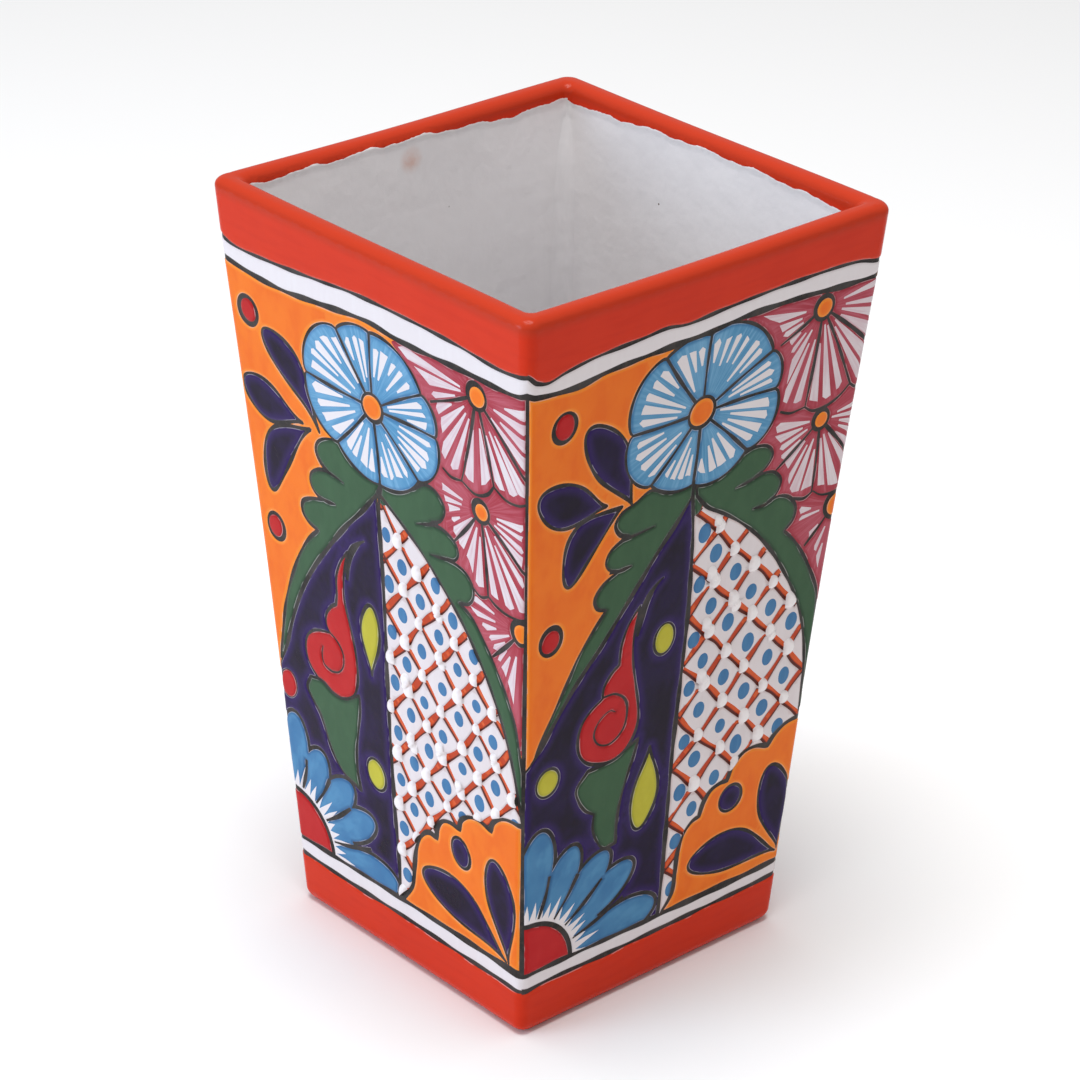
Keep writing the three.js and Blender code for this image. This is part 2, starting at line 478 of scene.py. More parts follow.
def sunburst(panel, centre, radius, petals):
    """A quarter of a flower in a bottom corner. A petal is its angle, its reach and its width."""
    first, last = -8, 104  # degrees, a little more than the quarter that shows
    shapes = [drop(centre, at(centre, angle, far), width * 1.06, belly=2.3) for angle, far, width in petals]
    for shape in shapes:
        panel.fill("line", offset(shape, 1.2))
    ground = [at(centre, angle, radius + 15) for angle in np.arange(first, last + 1, 4)]
    panel.fill("petal", [centre, *ground], centre)
    for shape in shapes:
        panel.fill("petal", offset(shape, -0.3), centre, lined=True)
    jagged = [at(centre, first, radius)]
    for angle in np.arange(first, last, 7.4):
        tip = radius + panel.random.uniform(7.5, 14.5)
        lean = panel.random.uniform(-1, 1)
        half_way = (radius + tip) / 2
        jagged.append(at(centre, angle, radius + 3.2))
        jagged.append(at(centre, angle + 1.9 + lean, half_way + 1.4))
        jagged.append(at(centre, angle + 3.7 + lean, tip))
        jagged.append(at(centre, angle + 5.5 + lean, half_way + 1.2))
    jagged.append(at(centre, last, radius))
    panel.fill("white", jagged, centre)
    for (a0, far, _), (a1, _, _) in zip(petals, petals[1:]):
        middle = (a0 + a1) / 2
        line = [(middle, radius + 3), (middle - 1, radius + 12), (middle, far * 0.78)]
        panel.stroke([at(centre, *spot) for spot in line], 1.5, ends=(0.6, 1))
    panel.fill("line", ellipse(*centre, radius + 2.0, radius + 2.0))
    panel.fill("red", ellipse(*centre, radius, radius), lined=True)


def swirl(panel, outline, spiral, hook):
    """The red curl with a spiral line, and the dark hook that leaves its tip."""
    panel.drawn("red", outline, 1.1)
    panel.stroke(spiral, 0.85, ends=(1, 0.4))
    panel.stroke(hook, 2.8, ends=(0.5, 0.2))


def bands(panel, rim_line, stripe_line, foot_upper, foot_lower, inner_edge):
    """Orange-red rim and foot bands, each parted from the picture by a white stripe between lines.

    Inside, the white glaze starts with a ragged, raised brim near the end of the lip.
    """
    rim, stripe, upper, lower = (spline(p, step=1.5) for p in (rim_line, stripe_line, foot_upper, foot_lower))
    path_end = [(FACE_OVER, PATH_END + PATH_OVER), (-FACE_OVER, PATH_END + PATH_OVER)]
    path_start = [(-FACE_OVER, PATH_START - PATH_OVER), (FACE_OVER, PATH_START - PATH_OVER)]
    panel.fill("white", np.vstack([stripe, rim[::-1]]))
    panel.fill("rim", np.vstack([rim, path_end]), lined=True)
    panel.fill("white", np.vstack([lower, upper[::-1]]))
    panel.fill("rim", np.vstack([lower[::-1], path_start]), lined=True)
    panel.fill("clay", [*path_start, (FACE_OVER, CLAY_EDGE), (-FACE_OVER, CLAY_EDGE)])
    phase = panel.random.uniform(0, 2 * math.pi)
    s = np.arange(-FACE_OVER, FACE_OVER, 1.0)
    ragged = LIP_END + inner_edge + 0.5 * np.sin(s / 13 + phase) + 0.45 * np.sin(s / 4.1 + 2 * phase)
    ragged += 0.3 * np.sin(s / 1.6 + phase) * np.sin(s / 9) + panel.random.uniform(-0.12, 0.12, len(s))
    for paint, down in (("brim", 0), ("inside", 0.75)):
        panel.fill(paint, np.vstack([np.stack([s, ragged + down], 1), path_end]))
    panel.stroke(rim_line, 1.3)
    panel.stroke(stripe_line, 2.0)
    panel.stroke(foot_upper, 1.9)
    panel.stroke(foot_lower, 1.8)


def corner_lines(panel, low, high):
    """The dark line down each upright edge of the face."""
    z = np.arange(low, high, 2.0)
    for side in (-1, 1):
        line = 1.0 - 0.45 * z / HEIGHT + 0.15 * np.sin(z / 17)
        inner = np.stack([side * (half_width(z) - line), z], 1)
        outer = np.stack([side * (half_width(z) + 4), z], 1)
        panel.fill("line", np.vstack([inner, outer[::-1]]))


def paint_panel(design, seed):
    """The whole picture on one face."""
    panel = Panel(seed)
    panel.fill("orange", [(-FACE_OVER, 15), (FACE_OVER, 15), (FACE_OVER, 265), (-FACE_OVER, 265)])
    panel.fill("pink", design["pink_ground"])
    for shell in design["fans"]:
        fan(panel, **shell)
    lattice(panel, **design["lattice"])
    panel.fill("green", ellipse(1, 193, 4, 6))  # between the roots of the two leaves
    leaf(panel, **design["right_leaf"])
    leaf(panel, **design["left_leaf"])
    panel.drawn("navy", design["navy"], 1.2)
    for paint, spot, line in design["spots"]:
        panel.drawn(paint, ellipse(*spot), line)
    swirl(panel, **design["swirl"])
    panel.drawn("green", design["inner_leaf"], 1.2)
    panel.drawn("yellow", drop(**design["yellow_drop"]), 1.2)
    for petal in design["sprig"]:
        panel.drawn("navy", drop(**petal), 1.3)
    panel.drawn("orange", design["scallop"], 1.9)
    for blob in design["scallop_drops"]:
        panel.drawn("navy", drop(**blob), 1.15)
    panel.drawn("navy", ellipse(*design["scallop_eye"]), 1.15)
    sunburst(panel, **design["sunburst"])
    flower(panel, **design["flower"])
    corner_lines(panel, 20, 258)
    bands(panel, **design["bands"])
    return panel


def front_design():
    """The picture on the front face."""
    right_edge = [(63, 108), (60, 120), (56, 131), (50, 143), (40, 157.5), (30, 168), (20, 177), (10, 184)]
    left_edge = [(-10, 181), (-20, 171), (-30, 159.5), (-40, 147), (-48, 134.5), (-54, 122), (-58.5, 110)]
    divide = [(-1.5, 145), (-2.6, 110), (-2.8, 60)]
    low_scallops = [(50, 172), (54, 173.6)], [(58, 171.5), (64, 170.5), (74, 171.7)]
    high_scallops = (
        [(77, 215.5)],
        [(70, 213.5), (65, 213.5), (59.5, 216)],
        [(56, 212), (50, 209.8), (43.5, 212.2)],
        [(38, 211.7), (32, 214.5)],
    )
    face = {}
    face["bands"] = dict(
        rim_line=[(-86, 261), (-79, 260.4), (-71, 258.2), (-50, 258.6), (-25, 260.4), (-8, 261.8),
                  (20, 261.9), (45, 261.1), (66, 259.6), (80, 260.9), (86, 261)],
        stripe_line=[(-86, 254), (-78, 252.5), (-65, 250.7), (-45, 250.1), (-28, 251.6), (0, 253.9),
                     (14, 252.6), (48, 252.8), (72, 253), (80, 254.6), (86, 255)],
        foot_upper=[(-70, 26.2), (-40, 26.5), (0, 26.8), (35, 26.3), (52, 25.9), (62, 25.2), (70, 24.8)],
        foot_lower=[(-70, 20.4), (-40, 19.4), (0, 19.6), (35, 19.2), (52, 19.2), (61, 18.7), (70, 18.4)],
        inner_edge=1.2,
    )
    face["flower"] = dict(
        centre=(-1, 222.3),
        eye=4.7,
        petals=[(1.3, 32, 2.4), (28.6, 29.6, 1.2), (88, 27.7, 1.0), (125.4, 28.5, 4.2),
                (178, 34.6, 3.2), (224.7, 28.1, 0.9), (273, 27.8, 1.0), (319.5, 28.9, 3.4)],
        stem=[(0.3, 196), (-0.8, 188), (-1.2, 175), *divide, (-2.2, 40), (-3.4, 27)],
    )
    face["pink_ground"] = [(8, 262), (84, 256), (84, 118), (64, 118), (54, 148), (38, 166), (21, 196),
                           (26, 225)]
    lowest = dict(
        outline=cornered([(64.5, 124), (64, 134), (57, 147), (50, 158), (40, 168)], [(46, 174)],
                         *low_scallops, [(70, 148), (67.5, 124)]),
        centre=(69.3, 166), eye=3.6, cuts=[225], edges=(163, 262), scallops=[],
    )
    middle = dict(
        outline=cornered([(46, 174)], *low_scallops, *high_scallops,
                         [(30, 206), (33, 198), (36, 190), (40, 184), (46, 178), (46, 174)]),
        centre=(52.2, 204.4), eye=3.1, cuts=[229, 273, 323], edges=(165, 372),
        scallops=[[(45, 175), *low_scallops[0]], [(54, 173.6), *low_scallops[1]]],
    )
    highest = dict(
        outline=cornered([(22, 253)], [(82, 253)], *high_scallops,
                         [(33, 224), (29, 237), (24, 243), (12, 251), (22, 253)]),
        centre=(53.2, 246), eye=3.7, cuts=[203.6, 253.8, 282, 315], edges=(166, 372),
        scallops=[[(34, 213.5), (38, 211.7), (43.5, 212.2)], [*high_scallops[2][::-1], (59.5, 216)],
                  [*high_scallops[1][::-1], (77, 215.5)]],
    )
    face["fans"] = [lowest, middle, highest]
    face["right_leaf"] = dict(
        outline=cornered(
            [(7, 196), (17, 199), (24, 203.5), (30, 202.8), (33.8, 198), (31.5, 193), (26, 190)],
            [(33, 189.8), (38.2, 187.3), (39.6, 183.5), (37.5, 180.5), (33, 179.4)],
            [(39, 179.2), (43.5, 177.6), (46.4, 173.5), (46, 169.5), (43.5, 166.5), (39, 165)],
            [(45, 162), (52, 153.5), (57.5, 145), (62, 136), (65, 127), (66.5, 117), (67.5, 106),
             (68.5, 92), (68.5, 80)],
            [(67.5, 80)],
            [(65, 96), *right_edge, (0, 190)],
            [(1, 194)],
        ),
        notches=[[(30, 190.8), (25, 189), (18.5, 186.8)], [(36, 179.9), (30, 178.6), (25, 177.8)]],
        spine=[(0, 190.5), *right_edge[::-1], (66.5, 88)],
    )
    face["left_leaf"] = dict(
        outline=cornered(
            [(-2, 189.5)],
            [*left_edge, (-61.5, 100)],
            [(-64, 100)],
            [(-62.5, 106), (-60.8, 114), (-58.8, 123), (-55.8, 132), (-51.8, 141), (-47, 150),
             (-41.5, 157.5), (-36, 162.7)],
            [(-41, 164), (-44, 167), (-43.6, 171), (-39, 174), (-32, 176.2)],
            [(-35.8, 177.3), (-38.3, 180.5), (-37.6, 184.3), (-33, 187.5), (-28, 188.7)],
            [(-31.5, 190.5), (-33.8, 194.5), (-32.5, 198), (-28, 201), (-21, 202.2), (-12, 197.5),
             (-5, 195.2), (0, 194)],
        ),
        notches=[[(-31, 188.6), (-26, 188.2), (-19.5, 187.3)], [(-35, 176.6), (-30, 176.4), (-25, 177)]],
        spine=[(-1.5, 190), *left_edge, (-62, 99)],
    )
    face["navy"] = cornered(
        [(-2.2, 189.5)],
        [(-10, 180.2), (-20, 170.2), (-30, 158.7), (-40, 146), (-48, 133.5), (-54, 121), (-59, 108),
         (-64.5, 97)],
        [(-66, 26)],
        [(-3, 26)],
        [*divide[::-1], (-2.2, 189.5)],
    )
    face["lattice"] = dict(
        outline=cornered([(-3, 26)], [(30, 26)], [(66, 60)], [(66, 96), *right_edge, (-1, 190.5)],
                         [*divide, (-3, 26)]),
        origin=(9.3, 128), pitch=(17.7, 19.6), divide=-2.4, dot=2.7, bead=2.6,
    )
    face["swirl"] = dict(
        outline=cornered(
            [(-24.5, 155), (-27.5, 148), (-28, 140.5), (-28.8, 136.5)],
            [(-32, 134), (-34.8, 130), (-35.2, 126), (-33.5, 123)],
            [(-38, 122), (-43, 120), (-47, 116), (-48.3, 110.5), (-46.5, 105), (-42, 101),
             (-36.5, 98.7), (-31, 98), (-26, 99.8), (-21.8, 103), (-19.6, 108), (-19, 115), (-20, 124),
             (-22, 132), (-23.9, 140), (-23.6, 148), (-22, 155.5), (-19.8, 161)],
        ),
        spiral=[(-34, 123.4), (-30, 121.5), (-27, 118), (-26.8, 113), (-29.5, 109), (-34, 107.3),
                (-38, 108.5), (-39, 112), (-38, 116)],
        hook=[(-21.5, 149), (-20.5, 156), (-17.3, 162.5), (-13.5, 166.5), (-10.3, 168.8)],
    )
    face["inner_leaf"] = cornered(
        [(-49, 94.5), (-46.5, 90.5), (-42.5, 86), (-40, 80.5), (-38, 75), (-34.5, 69.5), (-30.5, 66.2),
         (-25.5, 64.6), (-21.5, 63.5)],
        [(-22.8, 71), (-22.5, 80), (-20.5, 90), (-19, 98), (-19, 104)],
        [(-22.5, 101.5), (-27.5, 98.6), (-34, 98.5), (-40, 100.8), (-46.5, 99.8)],
    )
    face["yellow_drop"] = dict(tip=(-10.9, 115.5), far=(-9.2, 144), width=10.2, bend=0.6, belly=1.4)
    face["spots"] = [
        ("red", (-65.5, 235.8, 4.9, 5.1, 15), 1.8),
        ("red", (-60.2, 154.8, 4.6, 5.0, 0), 1.5),
        ("red", (-60, 91, 4.6, 5.8, -15), 0.5),
        ("yellow", (-12, 74.6, 5.0, 6.2, 10), 1.0),
    ]
    face["sprig"] = [
        dict(tip=(-40, 202.5), far=(-72, 207.5), width=15, bend=1.5),
        dict(tip=(-36, 201.5), far=(-61.5, 169.5), width=13.5, bend=-6.0, belly=1.3),
        dict(tip=(-31, 202.2), far=(-58, 231.5), width=13.5, bend=-3.5, belly=1.7),
    ]
    face["scallop"] = cornered(
        [(4.5, 36), (6.2, 45), (8.2, 54), (11.5, 60.5), (15.5, 63.6), (19.6, 63.3)],
        [(20.5, 68), (23.5, 72), (27.5, 73.3), (32.3, 73)],
        [(33.5, 77), (37.5, 80.3), (43, 81.6), (49.2, 80.4)],
        [(50.5, 84), (54.5, 87.5), (60, 89.2), (68, 89)],
        [(68, 27)],
        [(-2, 27)],
    )
    face["scallop_drops"] = [
        dict(tip=(54, 28.5), far=(11, 45.6), width=17, bend=-3.5, belly=1.5),
        dict(tip=(55.2, 28.5), far=(50, 68.6), width=14.5, bend=-0.5, belly=1.5),
    ]
    face["scallop_eye"] = (32.5, 63.2, 4.7, 6.0, 15)
    face["sunburst"] = dict(
        centre=(-61.5, 26),
        radius=20,
        petals=[(5.5, 58.5, 14.5), (30.5, 54, 12.5), (47, 51, 13), (67, 47.5, 13.5), (86, 54, 14.5)],
    )
    return face


def side_design():
    """The picture on the right face."""
    right_edge = [(63.6, 106), (62, 118), (59, 129), (54, 140), (48, 150), (41, 160), (33, 169),
                  (24, 177), (15, 183.5), (7, 188.5)]
    left_edge = [(-7, 187), (-15, 178), (-22, 169), (-29, 160), (-37, 150), (-46, 140), (-54, 129),
                 (-60, 120)]
    divide = [(1.3, 182), (2.4, 165), (3, 148), (2.6, 125), (1.8, 95), (2, 60)]
    low_right = [(62, 175.5), (67, 174.5), (76, 175)]
    high_scallops = (
        [(80, 214.3)],
        [(73, 214), (69.8, 216)],
        [(66, 213), (60, 210.6), (53, 210.6), (48.8, 213.2)],
        [(42, 213), (36, 215.5)],
    )
    face = {}
    face["bands"] = dict(
        rim_line=[(-86, 261), (-79, 261), (-75, 258.5), (-70, 257.2), (-63, 258.8), (-52, 260.6),
                  (-30, 261.9), (-20, 262.6), (-11, 261.5), (5, 262.4), (35, 263.2), (66, 262.4),
                  (76, 260.4), (86, 261)],
        stripe_line=[(-86, 255), (-80, 254.6), (-74, 253.2), (-57, 252.3), (-45, 254), (-20, 255.2),
                     (0, 255.7), (16, 256.8), (42, 256.4), (60, 255.1), (80, 254.6), (86, 254.6)],
        foot_upper=[(-70, 24.8), (-62, 25.2), (-55, 25.6), (-20, 25.6), (20, 25.2), (45, 25.1),
                    (60, 26), (70, 26.2)],
        foot_lower=[(-70, 18.4), (-61, 18.7), (-50, 19.6), (-20, 19.2), (20, 19.5), (50, 19.7),
                    (60, 20.2), (70, 20.4)],
        inner_edge=0.0,
    )
    face["flower"] = dict(
        centre=(-0.3, 226.3),
        eye=5.2,
        petals=[(-2.2, 33.8, 2.8), (24.3, 33.3, 2.2), (88.4, 28.2, 0.6), (126.6, 31.2, 3.8),
                (178.7, 30.7, 4.0), (225.8, 29, 0.8), (268.5, 26.5, 2.0), (317.6, 30.9, 4.6)],
        stem=[(-0.8, 201), (0, 192), *divide, (2, 40), (1.4, 26)],
    )
    face["pink_ground"] = [(8, 262), (84, 257), (84, 124), (66, 124), (58, 148), (42, 166), (22, 198),
                           (28, 228)]
    lowest = dict(
        outline=cornered([(66.5, 138), (62, 148), (57, 157), (49, 165)], [(50, 178)],
                         [(54, 176.6), (58, 178.2)], low_right, [(72, 155), (69, 138)]),
        centre=(70, 169.5), eye=4.2, cuts=[224], edges=(163, 262), scallops=[],
    )
    middle = dict(
        outline=cornered([(44, 180)], [(50, 177), (55, 176.6), (58, 178.2)], low_right, *high_scallops,
                         [(32, 208), (36, 200), (38, 193), (42, 187), (44, 180)]),
        centre=(57.5, 206), eye=2.9, cuts=[215.5, 270, 312], edges=(166, 372),
        scallops=[[(48, 178.5), (54, 176.6), (58, 178.2)], [(58, 178.2), *low_right]],
    )
    highest = dict(
        outline=cornered([(18, 256)], [(84, 256)], *high_scallops,
                         [(37, 224), (36.5, 235), (31, 244), (26, 251), (18, 256)]),
        centre=(52.3, 249.5), eye=3.5, cuts=[205, 264.7, 297.8, 321], edges=(168, 372),
        scallops=[[(37, 215), (42, 213), (48.8, 213.2)], [*high_scallops[2][::-1], (69.8, 216)],
                  [*high_scallops[1][::-1], (80, 214.3)]],
    )
    face["fans"] = [lowest, middle, highest]
    face["right_leaf"] = dict(
        outline=cornered(
            [(8, 199), (16, 200.5), (22, 204), (28, 204.8), (33.5, 203), (36, 199.3), (33.5, 195.3),
             (28, 192.7)],
            [(33, 193.2), (38, 191.8), (41.6, 187.5), (40, 183), (35.5, 180.7)],
            [(41, 181.6), (46.5, 179.5), (50.4, 174.5), (49.8, 169.8), (46, 166.5)],
            [(52, 160.5), (58, 152), (62.5, 144), (66, 136), (67.2, 128), (66.8, 118), (66, 106), (66, 88)],
            [(63.8, 88)],
            [*right_edge, (1.5, 194.5)],
            [(0.5, 199)],
        ),
        notches=[[(31, 193.4), (26, 192.2), (19.5, 191.6)], [(38, 181), (34, 180.2), (29, 180.6)]],
        spine=[(1.5, 194.5), *right_edge[::-1], (64, 88)],
    )
    face["left_leaf"] = dict(
        outline=cornered(
            [(-1, 194.5)],
            [*left_edge, (-65, 112)],
            [(-63.5, 113.5)],
            [(-62, 118), (-59, 125), (-55, 133), (-50.7, 141.5), (-46.5, 150), (-41, 157.5), (-36, 163.5)],
            [(-40.2, 165.5), (-41.6, 169.5), (-38.5, 174), (-32, 177)],
            [(-36.3, 179), (-38, 182), (-36.8, 185.5), (-32, 188.3), (-28, 189)],
            [(-32.5, 190.8), (-35.2, 195.3), (-32.8, 199), (-27, 201), (-20.5, 203.6), (-12, 200.5),
             (-5, 199.6), (-0.5, 200)],
        ),
        notches=[[(-32, 188.6), (-26, 188.6), (-17, 189.2)], [(-36, 177.6), (-31, 177), (-26, 177.2)]],
        spine=[(-1, 194.5), *left_edge, (-66, 111)],
    )
    face["navy"] = cornered(
        [(-0.8, 195)],
        [(-7, 186.2), *((s, z - 1) for s, z in left_edge[1:]), (-70, 108)],
        [(-68, 26)],
        [(2, 26)],
        [*divide[::-1], (-0.8, 195)],
    )
    face["lattice"] = dict(
        outline=cornered([(1.6, 26)], [(30, 26)], [(66, 60)], [(65, 92), *right_edge, (0.5, 195)],
                         [*divide, (1.6, 26)]),
        origin=(13, 127.5), pitch=(20.4, 20.6), divide=2.2, dot=3.0, bead=2.8,
    )
    face["swirl"] = dict(
        outline=cornered(
            [(-24.5, 154.5), (-27.2, 147), (-27.5, 139.5)],
            [(-30.5, 137.5), (-33.6, 133), (-34, 128.5)],
            [(-39, 125.5), (-42.5, 121.5), (-43.8, 115.5), (-42.6, 109.5), (-39, 105), (-34, 102.5),
             (-28, 101.5), (-22, 103.2), (-18, 107.5), (-16.3, 113), (-17, 120.5), (-19, 129),
             (-21, 138), (-21.8, 147), (-20.2, 159.8)],
        ),
        spiral=[(-34, 129), (-28, 128.3), (-23, 124), (-21.8, 118), (-23.5, 112), (-29, 108.8),
                (-34, 110.5), (-36.5, 115), (-34.5, 120), (-30, 122.4), (-27.3, 121)],
        hook=[(-20.3, 148), (-19, 156), (-16.3, 162.5), (-13, 166), (-10.3, 167.6)],
    )
    face["inner_leaf"] = cornered(
        [(-42.6, 95.5), (-41, 90), (-37.5, 85), (-33.4, 82)],
        [(-33.4, 76), (-31, 70), (-27.5, 65.8), (-22, 66)],
        [(-22.3, 73), (-21.6, 82), (-19.5, 91), (-17, 99), (-15.3, 106)],
        [(-20, 104.2), (-25, 101.6), (-32, 101.2), (-38, 101.2)],
    )
    face["yellow_drop"] = dict(tip=(-9.4, 100.5), far=(-11.8, 67.6), width=12.2, bend=0.8, belly=1.35)
    face["spots"] = [
        ("red", (-61.3, 239, 4.8, 5.2, 0), 1.6),
        ("red", (-60, 160, 4.6, 5.1, 0), 1.6),
        ("yellow", (-7.3, 142.6, 4.6, 6.0, 0), 0.9),
        ("yellow", (-56.2, 103.6, 5.0, 5.5, 0), 0.9),
    ]
    face["sprig"] = [
        dict(tip=(-40, 204), far=(-70, 215.5), width=15.5, bend=1.5, belly=1.3),
        dict(tip=(-33, 201.5), far=(-55, 178.8), width=14.5, bend=-6.0, belly=1.15),
        dict(tip=(-28.5, 201), far=(-50.5, 235.2), width=15, bend=-1.5, belly=1.35),
    ]
    face["scallop"] = cornered(
        [(7.3, 32), (8.3, 41), (8.8, 50), (11.3, 57), (15, 60.4), (17.8, 61)],
        [(19.3, 66), (22.5, 70), (27, 71.4), (30.3, 71.2)],
        [(32.3, 76.4), (37.3, 80.3), (43, 80.7), (49.2, 78.8)],
        [(52.3, 82.4), (57.5, 85), (68, 85.8)],
        [(68, 26)],
        [(3, 26)],
    )
    face["scallop_drops"] = [
        dict(tip=(58.5, 30.5), far=(14.6, 42), width=16.5, bend=-3.5, belly=1.4),
        dict(tip=(59.6, 31), far=(51.5, 69.4), width=15.5, bend=-0.5, belly=1.4),
    ]
    face["scallop_eye"] = (32.7, 63.1, 5.4, 5.4, 20)
    face["sunburst"] = dict(
        centre=(-61, 25),
        radius=20.5,
        petals=[(7.5, 61, 15.5), (32, 56.5, 13.5), (47.5, 53, 13.5), (67, 51.5, 13.5), (86.5, 59.5, 15)],
    )
    return face


def varied(layers, domes, seed):
    """The same picture painted again by hand: every line lands a little off, except at the
    upright edges and on the underside, where the wall's skin ends."""
    phase = np.random.default_rng(seed).uniform(0, 2 * math.pi, 4)

    def move(points):
        s, z = points[:, 0], points[:, 1]
        hold = np.clip(1 - (s / half_width(np.clip(z, 0, HEIGHT))) ** 4, 0, 1) * np.clip(z / 15, 0, 1)
        ds = 1.6 * np.sin(z / 24 + phase[0]) + 1.0 * np.sin(s / 19 + phase[1])
        dz = 1.7 * np.sin(s / 23 + phase[2]) + 0.9 * np.sin(z / 21 + phase[3])
        return points + hold[:, None] * np.stack([ds, dz], 1)

    moved = [(paint, move(outline), centre, lined) for paint, outline, centre, lined in layers]
    return moved, [(move(np.array([c]))[0], r, h) for c, r, h in domes]


# ---------------------------------------------------------------- glaze to mesh

# How far each paint stands above the drawn lines once it has melted, in millimetres.
RELIEF = {
    "line": 0.0, "shadow": 0.02, "lattice": 0.08, "clay": 0.0, "inside": 0.2, "rim": 0.4, "white": 0.24,
    "orange": 0.28, "navy": 0.26, "green": 0.28, "red": 0.32, "yellow": 0.3, "blue": 0.28, "petal": 0.28,
    "pink": 0.24, "bead": 0.24, "dot": 0.26, "cell": 0.24, "blush": 0.24, "brim": 0.6,
}
PAINTS = list(RELIEF)
DARK = [PAINTS.index(p) for p in ("line", "shadow")]

# Spacing of the points that carry the glaze, in millimetres.
BESIDE_LINES = (0.4, 1.0)  # rows that follow each drawn line
PICTURE_SPACING = 2.2
BEND_SPACING = 3.0
INSIDE_SPACING = 5.0


def skin_edge():
    """Where the wall's skin ends at its two mitres, as path positions close enough together."""
    fine = [
        np.linspace(PATH_START, FOOT_RADIUS, 15),
        np.arange(FOOT_RADIUS + 1.5, LIP_START - 0.5, 1.5),
        np.linspace(LIP_START, LIP_END, 19),
        np.linspace(LIP_END, PATH_END, 60)[1:],
    ]
    return np.concatenate(fine)


def thinned(points, cell):
    """At most one point in each cell of a grid."""
    _, keep = np.unique(np.round(points / cell).astype(int), axis=0, return_index=True)
    return points[np.sort(keep)]


def nearest(points, others):
    """How far each point is from the nearest one of the others."""
    tree = KDTree(len(others))
    for i, (s, z) in enumerate(others):
        tree.insert((s, z, 0), i)
    tree.balance()
    return np.array([tree.find((s, z, 0))[2] for s, z in points])


def clear_of(points, others, gap):
    """The points at least a gap away from the others."""
    return points[nearest(points, others) > gap]


def rows(half, step, levels, stagger=0.0):
    """Rows of points across the face at the given levels, every other one staggered."""
    s, z = np.meshgrid(np.arange(-half, half, step), levels)
    s[::2] += stagger
    return np.stack([s.ravel(), z.ravel()], 1)


def filling_points(layers):
    """Points that shape the glaze: two rows beside each drawn line, and grids in between."""
    drawn = np.vstack([outline for _, outline, _, _ in layers])
    beside = []
    for paint, outline, _, lined in layers:
        if paint == "line":
            beside += [offset(outline, away) for away in BESIDE_LINES]
        elif lined:
            beside += [offset(outline, -away) for away in BESIDE_LINES]
    beside = clear_of(thinned(np.vstack(beside), 0.42), drawn, 0.3)
    picture_levels = np.arange(6, LIP_START, PICTURE_SPACING)
    picture = rows(84, PICTURE_SPACING, picture_levels, stagger=PICTURE_SPACING / 2)
    bend_levels = np.concatenate([np.arange(-5, 6, 0.8), np.arange(LIP_START, LIP_END + 6, 0.7)])
    bends = rows(84, BEND_SPACING, bend_levels)
    plain_inside = rows(80, INSIDE_SPACING, np.arange(LIP_END + 9, PATH_END - 1, INSIDE_SPACING))
    filler = clear_of(np.vstack([picture, bends, plain_inside]), np.vstack([drawn, beside]), 0.9)
    return np.vstack([beside, filler])


def near_corner_points():
    """Columns of points round the upright edges, so that they come out round."""
    path = skin_edge()[1:-1]
    out = section(path)[0]
    columns = []
    for side in (-1, 1):
        columns += [np.stack([side * (out - back), path], 1) for back in (0.7, 1.5, 2.3, 3.1, 4.0)]
    return np.vstack(columns)


def dome_points(domes):
    """Rings of points that make the domes round. A ring is its share of the radius and its count."""
    rings = []
    for centre, radius, _ in domes:
        rings.append([centre])
        for share, count in ((0.4, 6), (0.7, 11), (0.88, 15), (0.965, 18)):
            turn = np.arange(count) / count * 2 * math.pi
            s = centre[0] + share * radius * np.cos(turn)
            z = centre[1] + share * radius * np.sin(turn)
            rings.append(np.stack([s, z], 1))
    return np.vstack(rings)


def triangulated(layers, domes):
    """The flat skin cut into triangles along every painted edge: points (s, path) and triangles."""
    path = skin_edge()
    out = section(path)[0]
    across = np.linspace(-1, 1, 41)[1:-1]
    bottom = np.stack([across * out[0], np.full(len(across), path[0])], 1)
    top = np.stack([across * out[-1], np.full(len(across), path[-1])], 1)
    right, left = np.stack([out, path], 1), np.stack([-out, path], 1)
    loops = [np.vstack([bottom, right, top[::-1], left[::-1]])] + [outline for _, outline, _, _ in layers]
    loose = np.vstack([filling_points(layers), dome_points(domes)])
    corner = clear_of(near_corner_points(), np.vstack([*loops, loose]), 0.3)
    points, edges = [], []
    for loop in loops:
        start = len(points)
        points += [Vector(p) for p in loop]
        edges += [(start + i, start + (i + 1) % len(loop)) for i in range(len(loop))]
    points += [Vector(p) for p in np.vstack([loose, corner])]
    made = delaunay_2d_cdt(points, edges, [], EVERY_TRIANGLE, CUT_TOLERANCE, False)
    flat = np.array([tuple(p) for p in made[0]])
    faces = np.array([f for f in made[2] if len(f) == 3])
    middle = flat[faces].mean(1)
    within = (np.abs(middle[:, 0]) < np.interp(middle[:, 1], path, out)) & (middle[:, 1] > path[0])
    used, faces = np.unique(faces[within & (middle[:, 1] < path[-1])], return_inverse=True)
    return flat[used], faces.reshape(-1, 3)


def paint_of(faces_middle, layers):
    """Which paint and which layer each triangle shows."""
    paint = np.full(len(faces_middle), PAINTS.index("orange"))
    layer = np.full(len(faces_middle), -1)
    for k, (name, outline, _, _) in enumerate(layers):
        low, high = outline.min(0), outline.max(0)
        near = np.flatnonzero(np.all((faces_middle >= low) & (faces_middle <= high), 1))
        for part in np.array_split(near, max(1, len(near) // 4000)):
            hit = part[inside(outline, faces_middle[part])] if len(part) else part
            paint[hit] = PAINTS.index(name)
            layer[hit] = k
    return paint, layer


